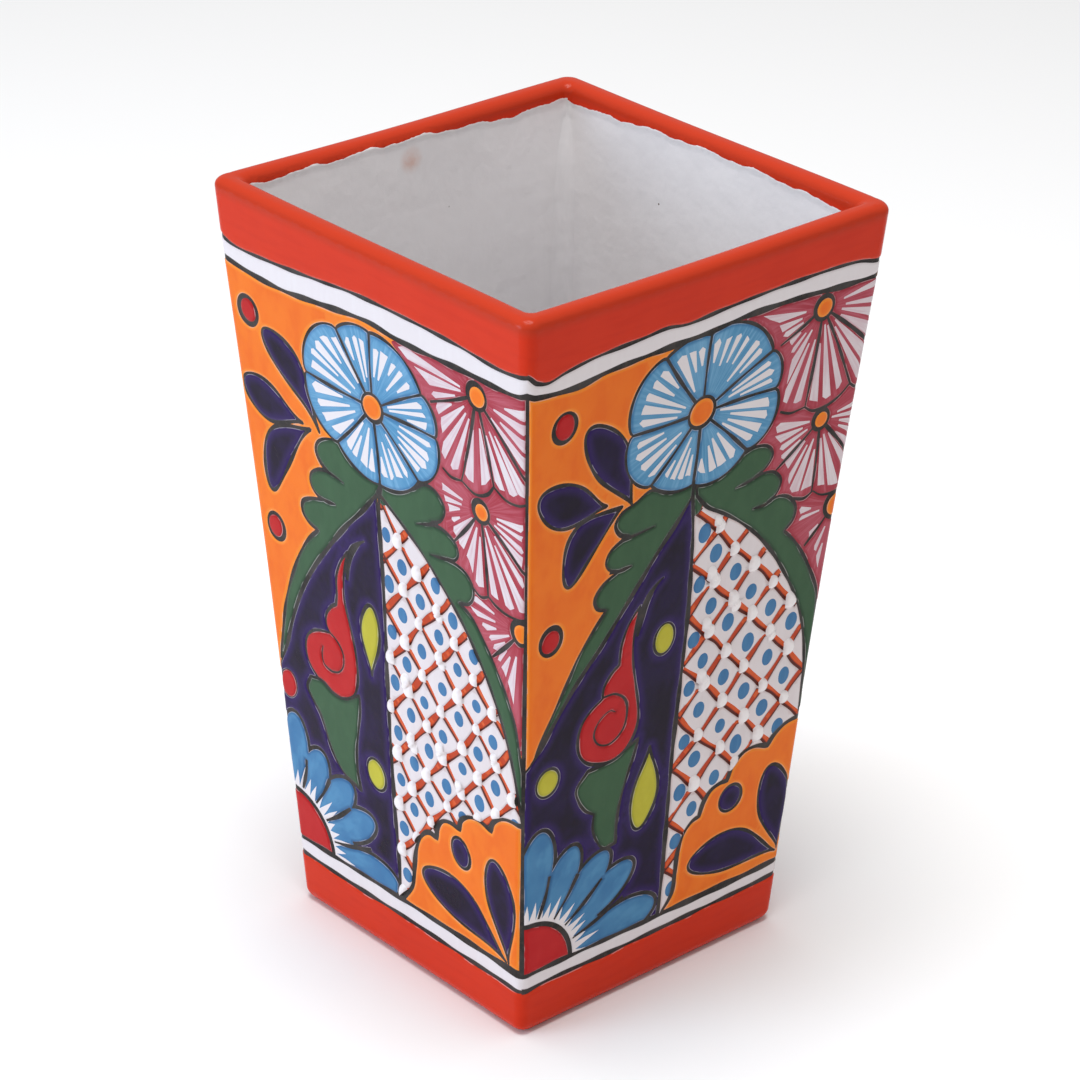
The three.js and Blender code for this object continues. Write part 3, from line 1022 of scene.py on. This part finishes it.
def line_distance(flat, faces, paint):
    """How far each point is from the nearest drawn line."""
    dark = np.isin(paint, DARK)
    in_dark = np.zeros(len(flat), bool)
    in_light = np.zeros(len(flat), bool)
    in_dark[faces[dark]] = True
    in_light[faces[~dark]] = True
    ends = np.sort(np.vstack([faces[dark][:, pair] for pair in ([0, 1], [1, 2], [2, 0])]), axis=1)
    ends = ends[(in_dark & in_light)[ends].all(1)]
    a, b = flat[ends[:, 0]], flat[ends[:, 1]]
    length = np.linalg.norm(b - a, axis=1)
    samples = [a + (b - a) * t for t in (0.0, 0.5)]
    long = length > 0.6
    samples += [a[long] + (b - a)[long] * t for t in (0.25, 0.75)]
    distance = nearest(flat, thinned(np.vstack(samples), 0.15))
    distance[in_dark] = 0
    return distance


def raised_by(flat, faces, paint, distance, domes):
    """Height of the melted glaze at each point. Domes that were painted over don't count."""
    relief = np.array([RELIEF[p] for p in PAINTS])[paint]
    light = ~np.isin(paint, DARK)
    total, count = np.zeros(len(flat)), np.zeros(len(flat))
    for k in range(3):
        np.add.at(total, faces[light][:, k], relief[light])
        np.add.at(count, faces[light][:, k], 1)
    full = total / np.maximum(count, 1)
    t = np.clip(distance / SHOULDER, 0, 1)
    height = full * np.sqrt(1 - (1 - t) ** 2)
    domed = np.zeros(len(flat), bool)
    domed[faces[np.isin(paint, [PAINTS.index("bead"), PAINTS.index("dot")])]] = True
    for centre, radius, dome in domes:
        apart = np.linalg.norm(flat - centre, axis=1) / radius
        raised = np.maximum(height, 0.1) + dome * np.maximum(1 - apart**2, 0) ** 0.45
        height = np.where(domed & (apart < 1), raised, height)
    return height


def brush_coordinates(flat, faces, layer, layers, seed):
    """For every triangle's corner: how far across and along the brush's way it lies."""
    corners = flat[faces]
    brush = np.concatenate([corners, np.full((*corners.shape[:2], 1), float(seed))], 2)
    for k, (_, _, centre, _) in enumerate(layers):
        here = layer == k
        if centre is None or not here.any():
            continue
        apart = corners[here] - np.array(centre)
        turn = np.arctan2(apart[..., 1], apart[..., 0])
        turn = np.where((turn.max(1) - turn.min(1) > math.pi)[:, None] & (turn < 0), turn + 2 * math.pi, turn)
        brush[here, :, 0] = turn * 25
        brush[here, :, 1] = np.linalg.norm(apart, axis=2)
    return brush


def smooth_normals(points, faces):
    """Normals at the points, the mean of the faces round them by their areas."""
    a, b, c = points[faces[:, 0]], points[faces[:, 1]], points[faces[:, 2]]
    flat = np.cross(b - a, c - a)
    normal = np.zeros_like(points)
    for k in range(3):
        np.add.at(normal, faces[:, k], flat)
    return unit(normal)


def turned(points, quarter):
    """Points or directions of the front wall turned to another wall."""
    turn = quarter * QUARTER
    c, q = round(math.cos(turn)), round(math.sin(turn))
    return points @ np.array([[c, q, 0], [-q, c, 0], [0, 0, 1]])


def wall(name, node, quarter, design, seed, vary):
    """One wall of the vase with its painted glaze, from its foot over its lip and down inside."""
    panel = paint_panel(design, seed)
    layers, domes = panel.layers, panel.domes
    if vary:
        layers, domes = varied(layers, domes, seed)
    flat, faces = triangulated(layers, domes)
    paint, layer = paint_of(flat[faces].mean(1), layers)
    brush = brush_coordinates(flat, faces, layer, layers, seed)
    distance = line_distance(flat, faces, paint)
    height = raised_by(flat, faces, paint, distance, domes)
    first = sorted_along(flat, np.abs(flat[:, 1] - PATH_START) < SAME)
    last = sorted_along(flat, np.abs(flat[:, 1] - PATH_END) < SAME)
    height[first] = 0
    points = on_wall(flat[:, 0], flat[:, 1], height)
    # The skin's two ends meet on the underside, so the last row becomes the first one.
    weld = np.arange(len(flat))
    weld[last] = first
    faces = weld[faces]
    normals = smooth_normals(points, faces)
    out = section(flat[:, 1])[0]
    caps = []
    for side in (-1, 1):
        seam = np.flatnonzero(np.abs(side * flat[:, 0] - out) < SAME)
        off = np.array([side, 1, 0]) / math.sqrt(2)
        normals[seam] -= (normals[seam] @ off)[:, None] * off
        ring = weld[seam[np.argsort(flat[seam, 1])]][:-1]
        caps.append(list(ring[::-side]))
    normals = unit(normals)
    piece = make_piece(
        name,
        hand_made(turned(points, quarter)),
        faces,
        PAINT_MATERIALS,
        paint,
        caps=caps,
        cap_paint=PAINTS.index("clay"),
        normals=turned(normals, quarter),
        edge=distance,
        brush=brush,
    )
    settle(piece, "painted_glaze", node)


def sorted_along(flat, mask):
    """The masked points' numbers, from left to right."""
    chosen = np.flatnonzero(mask)
    return chosen[np.argsort(flat[chosen, 0])]


# ---------------------------------------------------------------- pieces


def make_piece(
    name, points, faces, materials, paint, caps, cap_paint=0, normals=None, edge=None, brush=None
):
    """A mesh object from arrays, with the attributes that the glazes read."""
    used, packed = np.unique(faces, return_inverse=True)
    packed = packed.reshape(faces.shape)
    number = np.full(len(points), -1)
    number[used] = np.arange(len(used))
    caps = [[int(number[i]) for i in cap] for cap in caps]
    points = points[used]
    mesh = bpy.data.meshes.new(name)
    mesh.from_pydata((points * MM).tolist(), [], packed.tolist() + caps)
    for material in materials:
        mesh.materials.append(material)
    shown = list(paint) + [cap_paint] * len(caps)
    mesh.polygons.foreach_set("material_index", np.array(shown, np.int32))
    mesh.polygons.foreach_set("use_smooth", np.ones(len(shown), bool))
    depth = np.full(len(points), FAR_FROM_LINES) if edge is None else edge[used]
    mesh.attributes.new("edge", "FLOAT", "POINT").data.foreach_set("value", depth.astype(np.float32))
    if brush is None:
        brush = points[packed.ravel()]
    loops = np.zeros((len(mesh.loops), 3), np.float32)
    loops[: packed.size] = brush.reshape(-1, 3)
    mesh.attributes.new("brush", "FLOAT_VECTOR", "CORNER").data.foreach_set("vector", loops.ravel())
    if normals is None:
        mesh.set_sharp_from_angle(angle=SHARP_ANGLE)
    else:
        per_corner = np.zeros((len(mesh.loops), 3))
        per_corner[: packed.size] = normals[used][packed.ravel()]
        start = packed.size
        for k, cap in enumerate(caps):
            per_corner[start : start + len(cap)] = mesh.polygons[len(packed) + k].normal
            start += len(cap)
        mesh.normals_split_custom_set(per_corner.tolist())
    mesh.update()
    piece = bpy.data.objects.new(name, mesh)
    bpy.context.scene.collection.objects.link(piece)
    return piece


def settle(piece, slot, *nodes):
    """Every piece rides on the one body, in place of the CAD nodes that it stands for."""
    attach(piece, "root")
    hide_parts(*nodes)


def lofted(rings):
    """Faces through a stack of closed rings of equally many points, and its two end caps."""
    count, size = len(rings), len(rings[0])
    here = np.arange(count * size).reshape(count, size)
    beside = np.roll(here, -1, 1)
    quads = np.stack([here[:-1], beside[:-1], beside[1:], here[1:]], -1).reshape(-1, 4)
    return np.vstack(rings), quads, [list(here[0][::-1]), list(here[-1])]


def coil_ring(reach):
    """A coil's section, anticlockwise: distances from the two faces that it joins."""
    turn = np.linspace(QUARTER, 0, 13)
    front = reach * (1 - np.stack([np.cos(turn), np.sin(turn)], 1)) + COIL_LIFT + COIL_FEATHER
    turn = np.linspace(0, QUARTER, 7)
    back = INNER_CORNER_RADIUS * (1 - np.stack([np.cos(turn), np.sin(turn)], 1)) + COIL_LIFT
    edge = reach + 2 * COIL_LIFT
    return np.vstack([front, [(COIL_LIFT, edge)], back, [(edge, COIL_LIFT)]])


def coil_piece(name, node, quarter, rings):
    """A glazed coil through its rings, turned from the front to its place."""
    points, faces, caps = lofted(rings)
    points = hand_made(turned(points, quarter))
    settle(make_piece(name, points, faces, [INSIDE_GLAZE], [0] * len(faces), caps), "white_glaze", node)


def corner_coil(name, node, quarter):
    """The coil thumbed into an upright inner seam: at quarter 0, the one between front and left."""
    rings = []
    for z in np.linspace(FLOOR_TOP - 1, LIP_START - 1, 90):
        fade = min(1, (LIP_START - z) / COIL_FADE) ** 0.5
        thumbed = 1 + 0.07 * math.sin(z / 7 + quarter) + 0.08 * math.sin(z / 17 + 2 * quarter)
        ring = coil_ring(max(INNER_CORNER_RADIUS + COIL_LIFT, COIL_REACH * fade * thumbed))
        corner = half_width(z) - WALL_THICKNESS
        rings.append(np.stack([ring[:, 0] - corner, ring[:, 1] - corner, np.full(len(ring), z)], 1))
    coil_piece(name, node, quarter, rings)


def floor_coil(name, node, quarter):
    """The coil smeared along the floor at the foot of one wall, mitred at both ends."""
    rings = []
    for across in np.linspace(-1, 1, 48):
        thumbed = 1 + 0.06 * math.sin(across * 9 + quarter) + 0.06 * math.sin(across * 23 + 2 * quarter)
        ring = coil_ring(COIL_REACH * thumbed)
        z = FLOOR_TOP + ring[:, 1]
        out = half_width(z) - WALL_THICKNESS - ring[:, 0]
        rings.append(np.stack([across * out, -out, z], 1))
    coil_piece(name, node, quarter, rings)


def square_ring(half, z, radius):
    """A level ring of points round a square with rounded corners."""
    points = []
    middle = (half - radius) * math.sqrt(2)
    for corner in range(4):
        aim = corner * QUARTER + QUARTER / 2
        for turn in np.linspace(0, QUARTER, 7) + corner * QUARTER:
            x = middle * math.cos(aim) + radius * math.cos(turn)
            y = middle * math.sin(aim) + radius * math.sin(turn)
            points.append((x, y, z))
        start = np.array(points[-1])
        turned_start = turned(np.array([(half, -(half - radius), z)]), corner + 1)[0]
        points += [tuple(start + (turned_start - start) * t) for t in np.linspace(0, 1, 12)[1:-1]]
    return np.array(points)


def floor_plate(name, node):
    """The floor slab: bare clay underneath, glazed and a little uneven on top."""
    edge = FLOOR_EDGE
    flat = half_width(FLOOR_TOP / 2) - WALL_THICKNESS - SLIP_GAP - edge
    shares = np.linspace(0.02, 1, 22)
    lower = [(edge * math.sin(t), edge - edge * math.cos(t)) for t in (0.5, 1.0, QUARTER)]
    upper = [(edge * math.cos(t), FLOOR_TOP - edge + edge * math.sin(t)) for t in (0, 0.5, 1.0)]
    rings = [square_ring(flat * share, 0, INNER_CORNER_RADIUS * share) for share in shares]
    rings += [square_ring(flat + out, z, INNER_CORNER_RADIUS) for out, z in lower]
    underside = len(rings) - 1
    rings += [square_ring(flat + out, z, INNER_CORNER_RADIUS) for out, z in upper]
    rings += [square_ring(flat * share, FLOOR_TOP, INNER_CORNER_RADIUS * share) for share in shares[::-1]]
    points, faces, caps = lofted(rings)
    top = points[:, 2] > FLOOR_TOP / 2
    points[top, 2] += 0.25 * np.sin(points[top, 0] / 9) * np.sin(points[top, 1] / 12 + 1) - 0.25
    glazed = np.arange(len(faces)) // len(rings[0]) > underside
    piece = make_piece(name, hand_made(points), faces, [BARE_CLAY, INSIDE_GLAZE], glazed.astype(int), caps)
    piece.data.polygons[len(piece.data.polygons) - 1].material_index = 1
    settle(piece, "fired_clay", node)


# ---------------------------------------------------------------- materials


GLAZE_SPECULAR = 0.09  # low, so that the bright sky doesn't whiten the dark paints

# In metres, as the shaders see the vase.
RUST_SPOT = (-0.0718, -0.0005, 0.2695)  # the small smudge inside, under the lip
LIP_SHADE_HEIGHTS = (0.2740, 0.2795)  # heights between which the rim colour turns into a darker colour painted on the lip's top as shade


class Nodes:
    """A new material's node tree, with short calls for the nodes that the glazes are made of."""

    def __init__(self, name):
        self.material = bpy.data.materials.new(name)
        self.material.use_nodes = True
        self.tree = self.material.node_tree
        self.shader = self.tree.nodes["Principled BSDF"]

    def add(self, kind, **sockets):
        """A new node with its inputs set, by name, to values or to other nodes' outputs."""
        node = self.tree.nodes.new(kind)
        for name, value in sockets.items():
            self.put(node.inputs[name.replace("_", " ")], value)
        return node

    def put(self, socket, value):
        if isinstance(value, bpy.types.NodeSocket):
            self.tree.links.new(value, socket)
        else:
            socket.default_value = value

    def attribute(self, name):
        node = self.tree.nodes.new("ShaderNodeAttribute")
        node.attribute_name = name
        return node

    def place(self):
        """Where on the vase the shaded point is, in metres."""
        return self.tree.nodes.new("ShaderNodeTexCoord").outputs["Object"]

    def ramp(self, value, low, high, to_low=0.0, to_high=1.0):
        """Value mapped from one range to another, with soft ends."""
        node = self.add("ShaderNodeMapRange", Value=value)
        node.interpolation_type = "SMOOTHSTEP"
        for socket, number in zip(node.inputs[1:5], (low, high, to_low, to_high)):
            socket.default_value = number
        return node.outputs["Result"]

    def noise(self, vector, scale, stretch=(1, 1, 1), detail=2.0, roughness=0.5):
        """Cloudy noise, stretched along the axes of its vector."""
        scaled = self.tree.nodes.new("ShaderNodeVectorMath")
        scaled.operation = "MULTIPLY"
        self.put(scaled.inputs[0], vector)
        scaled.inputs[1].default_value = stretch
        node = self.add("ShaderNodeTexNoise", Vector=scaled.outputs[0], Scale=scale, Detail=detail)
        node.inputs["Roughness"].default_value = roughness
        return node.outputs["Fac"]

    def mix(self, share, first, second):
        """Two colours mixed. Inputs 6 and 7 and output 2 are the mix node's colour sockets."""
        node = self.tree.nodes.new("ShaderNodeMix")
        node.data_type = "RGBA"
        self.put(node.inputs["Factor"], share)
        for socket, value in ((node.inputs[6], first), (node.inputs[7], second)):
            self.put(socket, value if isinstance(value, bpy.types.NodeSocket) else (*value, 1.0))
        return node.outputs[2]

    def times(self, a, b):
        node = self.tree.nodes.new("ShaderNodeMath")
        node.operation = "MULTIPLY"
        self.put(node.inputs[0], a)
        self.put(node.inputs[1], b)
        return node.outputs[0]

    def bump(self, height, depth, strength=1.0, below=None):
        node = self.add("ShaderNodeBump", Height=height, Distance=depth, Strength=strength)
        if below is not None:
            self.put(node.inputs["Normal"], below)
        return node.outputs["Normal"]

    def finish(self, colour, roughness, normal=None):
        self.shader.inputs["Specular IOR Level"].default_value = GLAZE_SPECULAR
        self.put(self.shader.inputs["Base Color"], colour)
        self.put(self.shader.inputs["Roughness"], roughness)
        if normal is not None:
            self.put(self.shader.inputs["Normal"], normal)
        return self.material


def painted(
    name, colour, pooled, streaked, grain=(0.4, 0.06), pool=1.6, streaks=0.5, gloss=0.13, bare=0.5, top=None
):
    """Melted glaze paint: it pools towards the drawn lines, stops a hair short of them here and
    there, and shows the brush's streaks and clouds.

    Grain is the streaks' fineness across and along the brush's way, pool the width of the
    darker rim in millimetres, bare the strength of the white gap, and top the darker colour
    painted over the lip's top as shade.
    """
    nodes = Nodes(name)
    edge = nodes.attribute("edge").outputs["Fac"]
    brush = nodes.attribute("brush").outputs["Vector"]
    place = nodes.place()
    near = nodes.ramp(edge, 0.1, pool, 1.0, 0.0)
    streak = nodes.ramp(nodes.noise(brush, 1.0, (*grain, 1), 3.0), 0.42, 0.7)
    cloud = nodes.ramp(nodes.noise(place, 55.0, detail=3.0), 0.35, 0.7)
    body = nodes.mix(nodes.times(streak, streaks), colour, streaked)
    body = nodes.mix(nodes.times(cloud, streaks * 0.7), body, streaked)
    body = nodes.mix(nodes.times(near, 0.8), body, pooled)
    # painted shade: towards the top of the lip the colour is mixed into the darker top colour
    if top is not None:
        height = nodes.add("ShaderNodeSeparateXYZ", Vector=place).outputs["Z"]
        body = nodes.mix(nodes.ramp(height, *LIP_SHADE_HEIGHTS), body, top)
    gap = nodes.times(nodes.ramp(edge, 0.12, 0.34, 1.0, 0.0), nodes.ramp(edge, 0.0, 0.1))
    broken = nodes.ramp(nodes.noise(place, 130.0, detail=2.0), 0.45, 0.6)
    body = nodes.mix(nodes.times(nodes.times(gap, broken), bare), body, (0.62, 0.57, 0.57))
    ripple = nodes.noise(place, 260.0, detail=1.0)
    pores = nodes.noise(place, 1500.0, detail=2.0)
    normal = nodes.bump(pores, 0.00006, 0.3, nodes.bump(ripple, 0.0003, 0.3))
    return nodes.finish(body, nodes.ramp(streak, 0, 1, gloss, gloss + 0.06), normal)


def drawn_line():
    """The dark outline, a dry grey-brown pigment with bits of clay showing."""
    nodes = Nodes("dark_line")
    place = nodes.place()
    worn = nodes.ramp(nodes.noise(place, 420.0, detail=3.0), 0.5, 0.72)
    cloud = nodes.ramp(nodes.noise(place, 70.0), 0.35, 0.65)
    colour = nodes.mix(cloud, (0.022, 0.019, 0.018), (0.052, 0.046, 0.044))
    colour = nodes.mix(nodes.times(worn, 0.35), colour, (0.12, 0.085, 0.065))
    rough = nodes.noise(place, 900.0, detail=3.0)
    return nodes.finish(colour, nodes.ramp(worn, 0, 1, 0.38, 0.6), nodes.bump(rough, 0.0002, 0.5))


def inside_glaze():
    """The plain white glaze inside: thin, a little grey where it is thin, with pinholes, and with painted
    shade that makes it darker further down inside the vase.
    """
    nodes = Nodes("inside_white_glaze")
    place = nodes.place()
    thin = nodes.ramp(nodes.noise(place, 16.0, detail=5.0, roughness=0.6), 0.42, 0.7)
    drips = nodes.ramp(nodes.noise(place, 60.0, (1, 1, 0.12), 3.0), 0.45, 0.75)
    height = nodes.add("ShaderNodeSeparateXYZ", Vector=place).outputs["Z"]
    # painted shade: the white is mixed darker from under the lip down towards the floor
    painted_shade_lower_down = nodes.ramp(height, 0.16, 0.275, 1.0, 0.0)
    colour = nodes.mix(painted_shade_lower_down, (0.85, 0.83, 0.835), (0.68, 0.66, 0.67))
    colour = nodes.mix(nodes.times(thin, 0.4), colour, (0.72, 0.70, 0.71))
    colour = nodes.mix(nodes.times(drips, 0.2), colour, (0.88, 0.86, 0.865))
    holes = nodes.add("ShaderNodeTexVoronoi", Vector=place, Scale=70.0)
    pinhole = nodes.ramp(holes.outputs["Distance"], 0.018, 0.036, 1.0, 0.0)
    rare = nodes.ramp(nodes.noise(place, 28.0), 0.54, 0.60)
    speck = nodes.times(pinhole, rare)
    colour = nodes.mix(speck, colour, (0.10, 0.06, 0.045))
    apart = nodes.tree.nodes.new("ShaderNodeVectorMath")
    apart.operation = "DISTANCE"
    nodes.put(apart.inputs[0], place)
    apart.inputs[1].default_value = RUST_SPOT
    smudge = nodes.ramp(apart.outputs["Value"], 0.001, 0.006, 1.0, 0.0)
    rust = nodes.times(smudge, nodes.noise(place, 330.0, detail=3.0))
    colour = nodes.mix(nodes.times(rust, 0.9), colour, (0.66, 0.33, 0.22))
    ripple = nodes.noise(place, 120.0, detail=2.0)
    pores = nodes.noise(place, 1300.0)
    normal = nodes.bump(pores, 0.00006, 0.4, nodes.bump(ripple, 0.0008, 0.4))
    return nodes.finish(colour, nodes.ramp(thin, 0, 1, 0.22, 0.34), normal)


def bare_clay():
    """Unglazed terracotta on the underside, rubbed smooth, with grog in it."""
    nodes = Nodes("bare_clay")
    place = nodes.place()
    cloud = nodes.ramp(nodes.noise(place, 40.0, detail=4.0), 0.35, 0.7)
    grog = nodes.ramp(nodes.noise(place, 700.0, detail=3.0), 0.55, 0.7)
    colour = nodes.mix(cloud, (0.40, 0.15, 0.065), (0.30, 0.105, 0.045))
    colour = nodes.mix(nodes.times(grog, 0.5), colour, (0.52, 0.27, 0.15))
    rough = nodes.noise(place, 500.0, detail=4.0)
    return nodes.finish(colour, nodes.ramp(cloud, 0, 1, 0.75, 0.9), nodes.bump(rough, 0.0004, 0.6))


def paint_materials():
    """One material for each paint, in the paints' order."""
    made = {
        "line": drawn_line(),
        "clay": BARE_CLAY,
        "inside": INSIDE_GLAZE,
        # the rim's top colour is painted shade, darker over the lip
        "rim": painted("rim_orange_red", (0.63, 0.032, 0.008), (0.60, 0.036, 0.010), (0.56, 0.024, 0.006),
                       grain=(0.06, 0.4), streaks=0.4, top=(0.46, 0.038, 0.014)),
        "white": painted("white_ground", (0.75, 0.69, 0.70), (0.70, 0.64, 0.65), (0.78, 0.73, 0.74),
                         pool=0.8, bare=0),
        "brim": painted("white_brim", (0.86, 0.82, 0.82), (0.80, 0.74, 0.74), (0.88, 0.84, 0.84), bare=0),
        "cell": painted("lattice_white", (0.72, 0.645, 0.65), (0.60, 0.48, 0.47), (0.76, 0.70, 0.71),
                        pool=0.9, bare=0),
        "blush": painted("rose_white", (0.73, 0.65, 0.67), (0.58, 0.34, 0.39), (0.62, 0.42, 0.47),
                         (0.9, 0.07),
                         pool=0.9, streaks=0.65, bare=0),
        "orange": painted("orange_ground", (0.84, 0.18, 0.014), (0.88, 0.28, 0.035), (0.76, 0.12, 0.009),
                          grain=(0.14, 0.07), streaks=0.5),
        "navy": painted("navy_ground", (0.009, 0.004, 0.015), (0.032, 0.013, 0.105), (0.018, 0.008, 0.052),
                        grain=(0.10, 0.08), pool=4.0, streaks=0.5),
        "green": painted("leaf_green", (0.040, 0.094, 0.045), (0.028, 0.056, 0.032), (0.052, 0.118, 0.056),
                         grain=(0.2, 0.09), streaks=0.45),
        "red": painted("deep_red", (0.46, 0.010, 0.012), (0.36, 0.009, 0.011), (0.52, 0.018, 0.018),
                       grain=(0.15, 0.1)),
        "yellow": painted("lime_yellow", (0.47, 0.42, 0.035), (0.35, 0.33, 0.035), (0.54, 0.50, 0.05),
                          grain=(0.15, 0.1)),
        "blue": painted("flower_blue", (0.080, 0.26, 0.45), (0.045, 0.16, 0.33), (0.19, 0.40, 0.60),
                        grain=(0.9, 0.06), streaks=0.7),
        "petal": painted("petal_blue", (0.046, 0.165, 0.34), (0.030, 0.10, 0.23), (0.095, 0.28, 0.47),
                         grain=(0.25, 0.07), streaks=0.6),
        "pink": painted("rose_pink", (0.37, 0.038, 0.058), (0.30, 0.026, 0.040), (0.50, 0.12, 0.16),
                        grain=(0.7, 0.05), streaks=0.7),
        "bead": painted("white_bead", (0.86, 0.81, 0.81), (0.74, 0.66, 0.66), (0.88, 0.83, 0.83),
                        gloss=0.1, bare=0),
        "dot": painted("dot_blue", (0.05, 0.165, 0.34), (0.04, 0.12, 0.26), (0.075, 0.22, 0.41),
                       gloss=0.12, bare=0),
        "lattice": painted("lattice_red", (0.62, 0.085, 0.020), (0.45, 0.040, 0.012), (0.70, 0.13, 0.035),
                           pool=0.5, bare=0),
        "shadow": painted("brown_red", (0.13, 0.020, 0.010), (0.08, 0.016, 0.011), (0.24, 0.030, 0.012),
                          pool=0.5, gloss=0.3, bare=0),
    }
    return [made[name] for name in PAINTS]


# ---------------------------------------------------------------- the vase

BARE_CLAY = bare_clay()
INSIDE_GLAZE = inside_glaze()
PAINT_MATERIALS = paint_materials()

WALLS = [
    ("painted_wall_front", "wall_front", front_design, 3, False),
    ("painted_wall_right", "wall_right", side_design, 5, False),
    ("painted_wall_back", "wall_back", front_design, 7, True),
    ("painted_wall_left", "wall_left", side_design, 11, True),
]
for quarter, (name, node, design, seed, vary) in enumerate(WALLS):
    wall(name, node, quarter, design(), seed, vary)

for quarter, corner in enumerate(["front_left", "front_right", "back_right", "back_left"]):
    corner_coil("smeared_coil_" + corner, "corner_coil_" + corner, quarter)
for quarter, side in enumerate(["front", "right", "back", "left"]):
    floor_coil("smeared_coil_floor_" + side, "floor_coil_" + side, quarter)
floor_plate("glazed_floor", "floor_slab")


# ---------------------------------------------------------------- studio

CAMERA_AZIMUTH = math.radians(48.12)
CAMERA_ELEVATION = math.radians(26.78)
CAMERA_ROLL = math.radians(1.08)
CAMERA_DISTANCE = 1.3266
CAMERA_TARGET = Vector((-0.00378, 0.00169, 0.148))
SENSOR_WIDTH = 36.0
LENS = 126.74
SKY_STRENGTH = 0.42
FLOOR_HALF = 12.0


def camera():
    """A camera at the photograph's viewing angle, turned a little about its own axis."""
    back = Vector((
        math.sin(CAMERA_AZIMUTH) * math.cos(CAMERA_ELEVATION),
        -math.cos(CAMERA_AZIMUTH) * math.cos(CAMERA_ELEVATION),
        math.sin(CAMERA_ELEVATION),
    ))
    level = Vector((math.cos(CAMERA_AZIMUTH), math.sin(CAMERA_AZIMUTH), 0))
    up = back.cross(level)
    right = level * math.cos(CAMERA_ROLL) + up * math.sin(CAMERA_ROLL)
    up = back.cross(right)
    data = bpy.data.cameras.new("camera")
    data.sensor_width = SENSOR_WIDTH
    data.lens = LENS
    made = bpy.data.objects.new("camera", data)
    turn = Matrix((right, up, back)).transposed().to_4x4()
    made.matrix_world = Matrix.Translation(CAMERA_TARGET + back * CAMERA_DISTANCE) @ turn
    bpy.context.scene.collection.objects.link(made)
    bpy.context.scene.camera = made


def soft_light(name, place, aim, size, power, colour=(1, 1, 1)):
    """A round area light that is turned towards a point."""
    data = bpy.data.lights.new(name, "AREA")
    data.shape = "DISK"
    data.size = size
    data.energy = power
    data.color = colour
    made = bpy.data.objects.new(name, data)
    made.location = place
    made.rotation_euler = (Vector(aim) - Vector(place)).to_track_quat("-Z", "Y").to_euler()
    bpy.context.scene.collection.objects.link(made)


def studio():
    """A plain pale floor under an even sky, a wide soft light overhead and a cooler one at the left."""
    world = bpy.data.worlds.new("studio")
    world.use_nodes = True
    sky = world.node_tree.nodes["Background"]
    sky.inputs["Color"].default_value = (1.0, 0.985, 0.975, 1)
    sky.inputs["Strength"].default_value = SKY_STRENGTH
    bpy.context.scene.world = world
    bpy.context.scene.view_settings.view_transform = "Standard"

    mesh = bpy.data.meshes.new("studio_floor")
    corners = [(x * FLOOR_HALF, y * FLOOR_HALF, 0) for x, y in ((-1, -1), (1, -1), (1, 1), (-1, 1))]
    mesh.from_pydata(corners, [], [(0, 1, 2, 3)])
    floor = bpy.data.objects.new("studio_floor", mesh)
    nodes = Nodes("studio_floor")
    mesh.materials.append(nodes.finish((0.9, 0.9, 0.9, 1), 1.0))
    nodes.shader.inputs["Specular IOR Level"].default_value = 0.0
    bpy.context.scene.collection.objects.link(floor)

    soft_light("overhead", (0.05, -0.15, 2.1), (0, 0, 0.1), 1.3, 40)
    soft_light("left_front", (-0.6, -1.5, 0.45), (0, 0, 0.14), 0.9, 13.5, (0.66, 0.80, 1.0))


camera()
studio()
